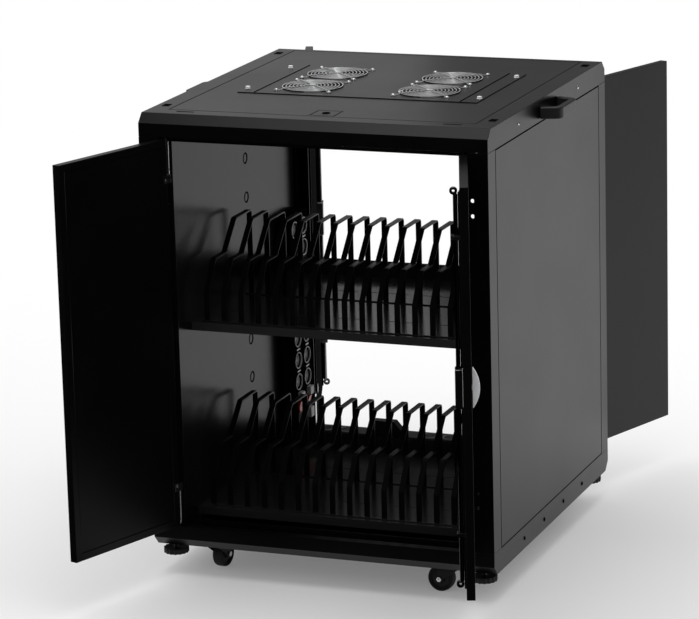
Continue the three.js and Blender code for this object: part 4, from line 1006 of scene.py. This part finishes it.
# %% Feet
FOOT_X, FOOT_Y = 305, 324
FOOT_LOW, FOOT_HIGH = 37, 48
LOBES, STEPS_EACH_LOBE, KNOB_RADIUS, SCALLOP = 15, 8, 23, 0.9
STUD_RADIUS, THREAD_DEPTH, STUD_LENGTH = 4.9, 0.8, 28
knob_steps = STEPS_EACH_LOBE * LOBES
wave = [2 * math.pi * step / knob_steps for step in range(knob_steps)]
knob_radii = [KNOB_RADIUS + SCALLOP * math.cos(LOBES * angle) for angle in wave]
knob_line = [(radius * math.cos(angle), radius * math.sin(angle)) for radius, angle in zip(knob_radii, wave)]
knob = softened(plate("knob", knob_line, "z", FOOT_LOW, FOOT_HIGH), 1.4, 2)
teeth = [(STUD_RADIUS - THREAD_DEPTH * (step % 2), FOOT_HIGH + step) for step in range(STUD_LENGTH)]
stud_top = FOOT_HIGH + STUD_LENGTH
stud = turned("stud", [
    (0, FOOT_HIGH - 2), (STUD_RADIUS, FOOT_HIGH - 2), *teeth, (3.6, stud_top), (0, stud_top),
], 20)
for name, (side, end) in CORNERS.items():
    foot = "levelling_foot_" + name
    place = at(side * FOOT_X, end * FOOT_Y, 0)
    settled(copied(knob, f"foot_knob_{name}", place), foot_plastic, foot, foot)
    settled(copied(stud, f"foot_stud_{name}", place), zinc, foot)
dropped(knob, stud)
print("feet:", len(CORNERS))

# %% [markdown]
# ## Small fasteners
#
# Bright screws hold the side borders at the top and dark ones at the foot, and four silver thumb screws hold
# the fan plate. Each head is turned once and copied.

# %% Screws
BOTH_SIDES = (-1, 1)
BORDER_SCREWS = {857: ((-180, 180), chrome), 76: ((-180, -60, 60, 180), strip_plastic_and_gap_shade)}
THUMB_X, THUMB_YS = 229, (-84, 134)
pan_screw = turned("screw", [
    (0, 0.5), (1.6, 0.5), (1.9, 1.5), (3, 1.3), (3.9, 0.6), (4, 0), (0, 0),
], 20)
for z, (ys, finish) in BORDER_SCREWS.items():
    spots = [at(side * BODY_HALF, y, z, 90 * side, "Y") for side in BOTH_SIDES for y in ys]
    scattered(f"side_screws_{z}", pan_screw, spots, finish)
thumb = turned("thumb", [(0, 4.6), (3.6, 4.6), (4.4, 4), (4.4, 1.4), (5.2, 1), (5.2, 0), (0, 0)], 20)
thumb_spots = [at(side * THUMB_X, y, PLATE_TOP) for side in BOTH_SIDES for y in THUMB_YS]
scattered("fan_plate_screws", thumb, thumb_spots, silver)
dropped(pan_screw, thumb)
print("screws:", len(BORDER_SCREWS), "rows on each side,", len(thumb_spots), "on the fan plate")

# %% [markdown]
# ## Plugs, beads and covers
#
# Moulded plugs close holes that the maker leaves open in the sheets. A grommet with a plug fills each cable
# hole in the inner walls, flat plugs lie in the corners of the top, and small plates stand behind the screw
# holes of the front left post. A flat dark fill that mirrors nothing lies in each of the top's two front
# slots as painted shade of the slot. A thin dark strip runs along the seam of each side panel as painted
# shade of the groove, and two ridges lie beside the fans, real folds whose dark finish is painted shade.
# Turned rings and rounded blocks are enough for all of them.

# %% Cable holes and panel seams
WALL_X, HOLE_Y, HOLE_RISES = 302, 66, (178, 255)
SEAM_SHADE_HALF, SEAM_SHADE_IN, SEAM_SHADE_OUT, SEAM_SHADE_ROUND = 1.1, BODY_HALF + 0.02, BODY_HALF + 0.16, 0.04
SEAM_SHADE_Y, SEAM_SHADE_END_Y, SEAM_SHADE_ZS, SEAM_SHADE_END_ZS = 313, 311.8, (99.1, 834.9), (98, 836)
grommet = turned("grommet", [
    (8.6, -1.2), (8.6, -0.2), (9.2, 0.5), (9.8, 0.8), (10.6, 0.3), (10.6, -1.2), (8.6, -1.2),
], 32)
plug = turned("plug", [(0, -0.4), (7.8, -0.4), (8.4, -0.7), (8.4, -1.2), (0, -1.2)], 32)
hole_spots = [
    at(side * WALL_X, HOLE_Y, floor + above, -90 * side, "Y")
    for side in BOTH_SIDES for floor in SHELF_FLOORS.values() for above in HOLE_RISES
]
scattered("cable_hole_grommets", grommet, hole_spots, strip_plastic_and_gap_shade)
scattered("cable_hole_plugs", plug, hole_spots, wall_coat)


def seam_shade_block(y_low, y_high, z_low, z_high):
    """A flat dark block on the outside of the side panel, painted shade of the seam."""
    return block("seam_shade", (SEAM_SHADE_IN, y_low, z_low), (SEAM_SHADE_OUT, y_high, z_high), SEAM_SHADE_ROUND)


# Thin dark strips that mirror nothing lie over the side panel seams: painted shade of the grooves.
seam_shade = united("seam_shade", [
    *[seam_shade_block(y - SEAM_SHADE_HALF, y + SEAM_SHADE_HALF, *SEAM_SHADE_END_ZS) for y in (-SEAM_SHADE_Y, SEAM_SHADE_Y)],
    *[seam_shade_block(-SEAM_SHADE_END_Y, SEAM_SHADE_END_Y, z - SEAM_SHADE_HALF, z + SEAM_SHADE_HALF) for z in SEAM_SHADE_ZS],
])
scattered("panel_seam_painted_shade", seam_shade, [at(0, 0, 0, turn) for turn in (0, 180)], strip_plastic_and_gap_shade)
dropped(grommet, plug, seam_shade)
print("cable holes:", len(hole_spots), "with a grommet and a plug")

# %% Plugs in the top and covers behind the post
TOP = 878
CORNER_X, CORNER_YS = 316, (-265, 289)
SLOT_X, SLOT_Y = 257, -317
COVER_LOCK_Y, RIDGE_X = -271, 203
WINDOW_LOW, WINDOW_HIGH = 708.2, 763.8
corner_plug = block("plug", (-6.5, -9, 0.02), (6.5, 9, 0.8), 0.35)
corner_spots = [at(side * CORNER_X, y, TOP) for side in BOTH_SIDES for y in CORNER_YS]
scattered("corner_plugs", corner_plug, corner_spots, strip_plastic_and_gap_shade)
# A dark fill that mirrors nothing lies just under the top in each front slot: painted shade of the slot.
slot_shade_fill = block("slot", (-16.7, -2.7, -1), (16.7, 2.7, -0.5), 0.2)
slot_spots = [at(side * SLOT_X, SLOT_Y, TOP) for side in BOTH_SIDES]
scattered("lift_slot_painted_shade", slot_shade_fill, slot_spots, strip_plastic_and_gap_shade)
window = united("window", [
    block("back", (-297.4, -334.1, WINDOW_LOW), (-283.7, -333.1, WINDOW_HIGH), 0.3),
    block("side", (-299.4, -352.6, WINDOW_LOW), (-298.4, -325.1, WINDOW_HIGH), 0.3),
])
scattered("post_window_covers", window, (Matrix.Identity(4), turn_over), black_coat)
cover_lock = turned("lock", [
    (0, -0.6), (5, -0.6), (5.4, 0.8), (6.6, 1), (7.6, 0.6), (7.8, 0.02), (0, 0.02),
], 28)
settled(moved(cover_lock, at(0, COVER_LOCK_Y, TOP)), strip_plastic_and_gap_shade, "cabinet")
# The two ridges are real folds in the plate; their dark finish that mirrors nothing is painted shade.
shade_ridge = block("shade_ridge", (-0.8, -118, 0.02), (0.8, 170, 0.9), 0.3)
ridge_spots = [at(side * RIDGE_X, 0, PLATE_TOP) for side in BOTH_SIDES]
scattered("fan_plate_ridges_painted_shade", shade_ridge, ridge_spots, strip_plastic_and_gap_shade)
dropped(corner_plug, slot_shade_fill, window, shade_ridge)
print("top:", len(corner_spots), "corner plugs,", len(slot_spots), "slot plugs,", len(ridge_spots), "ridges")

# %% [markdown]
# ## The studio
#
# The cart stands on a pale floor that fades into white behind it and far in front of it. In a mirror the
# floor is dark in front of the cart, so the front doors mirror a dark room while the side and the inner walls
# mirror bright floor. A large lamp behind on the left throws the soft shadow to the front and right, a
# softbox above lights the folded top edge, and two cards behind show only as reflections.

# %% Floor
FLOOR_HALF, FLOOR_GREY, FLOOR_LIFT = 9.0, 0.86, 0.16
WHITE_BEHIND, WHITE_BEFORE, DARK_AHEAD = (-0.4, 1.7), (-1.3, -2.8), (-0.36, -0.54)
bpy.ops.object.select_all(action="DESELECT")
bpy.ops.mesh.primitive_plane_add(size=2 * FLOOR_HALF)
floor_sheet = bpy.context.object
floor_sheet.name = "studio_floor"

ground = Finish("studio_floor")
depth_y = ground.node("ShaderNodeSeparateXYZ", None, {"Vector": ground.here}, output="Y")


def fading(start, stop):
    """A smooth change along Y, from 0 at one place to 1 at another."""
    settings = {"interpolation_type": "SMOOTHSTEP"}
    return ground.node("ShaderNodeMapRange", settings, {"Value": depth_y, 1: start, 2: stop})


def ray(tree, kind):
    """Whether the light path is of a kind: 1 if it is, otherwise 0."""
    return tree.node("ShaderNodeLightPath", output=f"Is {kind} Ray")


mirrored = ray(ground, "Glossy")
seen = ray(ground, "Camera").above(mirrored).above(ray(ground, "Transmission"))
whiteness = fading(*WHITE_BEHIND).above(fading(*WHITE_BEFORE)).above(FLOOR_LIFT)
lit = ground.node("ShaderNodeBsdfDiffuse", None, {"Color": grey(FLOOR_GREY)})
white = ground.node("ShaderNodeEmission", None, {"Color": grey(1), "Strength": 1.0})
unlit = ground.node("ShaderNodeEmission", None, {"Color": grey(0), "Strength": 0.0})
paper = ground.node("ShaderNodeMixShader", None, {0: whiteness * seen, 1: lit, 2: white})
paper = ground.node("ShaderNodeMixShader", None, {0: fading(*DARK_AHEAD) * mirrored, 1: paper, 2: unlit})
ground.feed(ground.nodes["Material Output"].inputs["Surface"], paper)
floor_sheet.data.materials.append(ground.material)
print("floor:", 2 * FLOOR_HALF, "metres square")

# %% Room and lamps
ROOM_LIGHT, ROOM_MIRRORED = 0.7, 0.03
LAMPS = {
    "window_lamp": ((-4.5, 2.0, 4.5), (6, 6), 90, (0, 0, 0.3)),
    "softbox_above": ((0, -0.35, 3.4), (2.6, 2.6), 47, (0, -0.35, 0)),
    "card_behind": ((-1.45, 1.8, 1.45), (1.8, 1.1), 3.2, (-1.45, 0, 1.35)),
    "card_beside": ((0.25, 1.8, 1.45), (1.6, 1.1), 1.1, (0.25, 0, 1.35)),
}
CARDS = ("card_behind", "card_beside")
world = bpy.data.worlds.new("room")
bpy.context.scene.world = world
room = Tree(world)
direct, glossy = ray(room, "Camera"), ray(room, "Glossy")
strength = direct + (1 - direct) * (glossy * ROOM_MIRRORED + (1 - glossy) * ROOM_LIGHT)
room.feed(room.nodes["Background"].inputs["Color"], grey(1))
room.feed(room.nodes["Background"].inputs["Strength"], strength)
for name, (spot, size, power, target) in LAMPS.items():
    bpy.ops.object.light_add(type="AREA", location=spot)
    lamp = bpy.context.object
    lamp.name = name
    lamp.data.shape = "RECTANGLE"
    lamp.data.size, lamp.data.size_y = size
    lamp.data.energy = power
    lamp.rotation_euler = (Vector(target) - lamp.location).to_track_quat("-Z", "Y").to_euler()
    lamp.visible_camera = False
bpy.data.objects["window_lamp"].visible_glossy = False
for name in CARDS:
    bpy.data.objects[name].visible_diffuse = False
print("lamps:", ", ".join(LAMPS))

# %% [markdown]
# ## Finishing
#
# The view transform is Standard, so that colours come out as they are written.

# %% Finish
bpy.context.scene.view_settings.view_transform = "Standard"
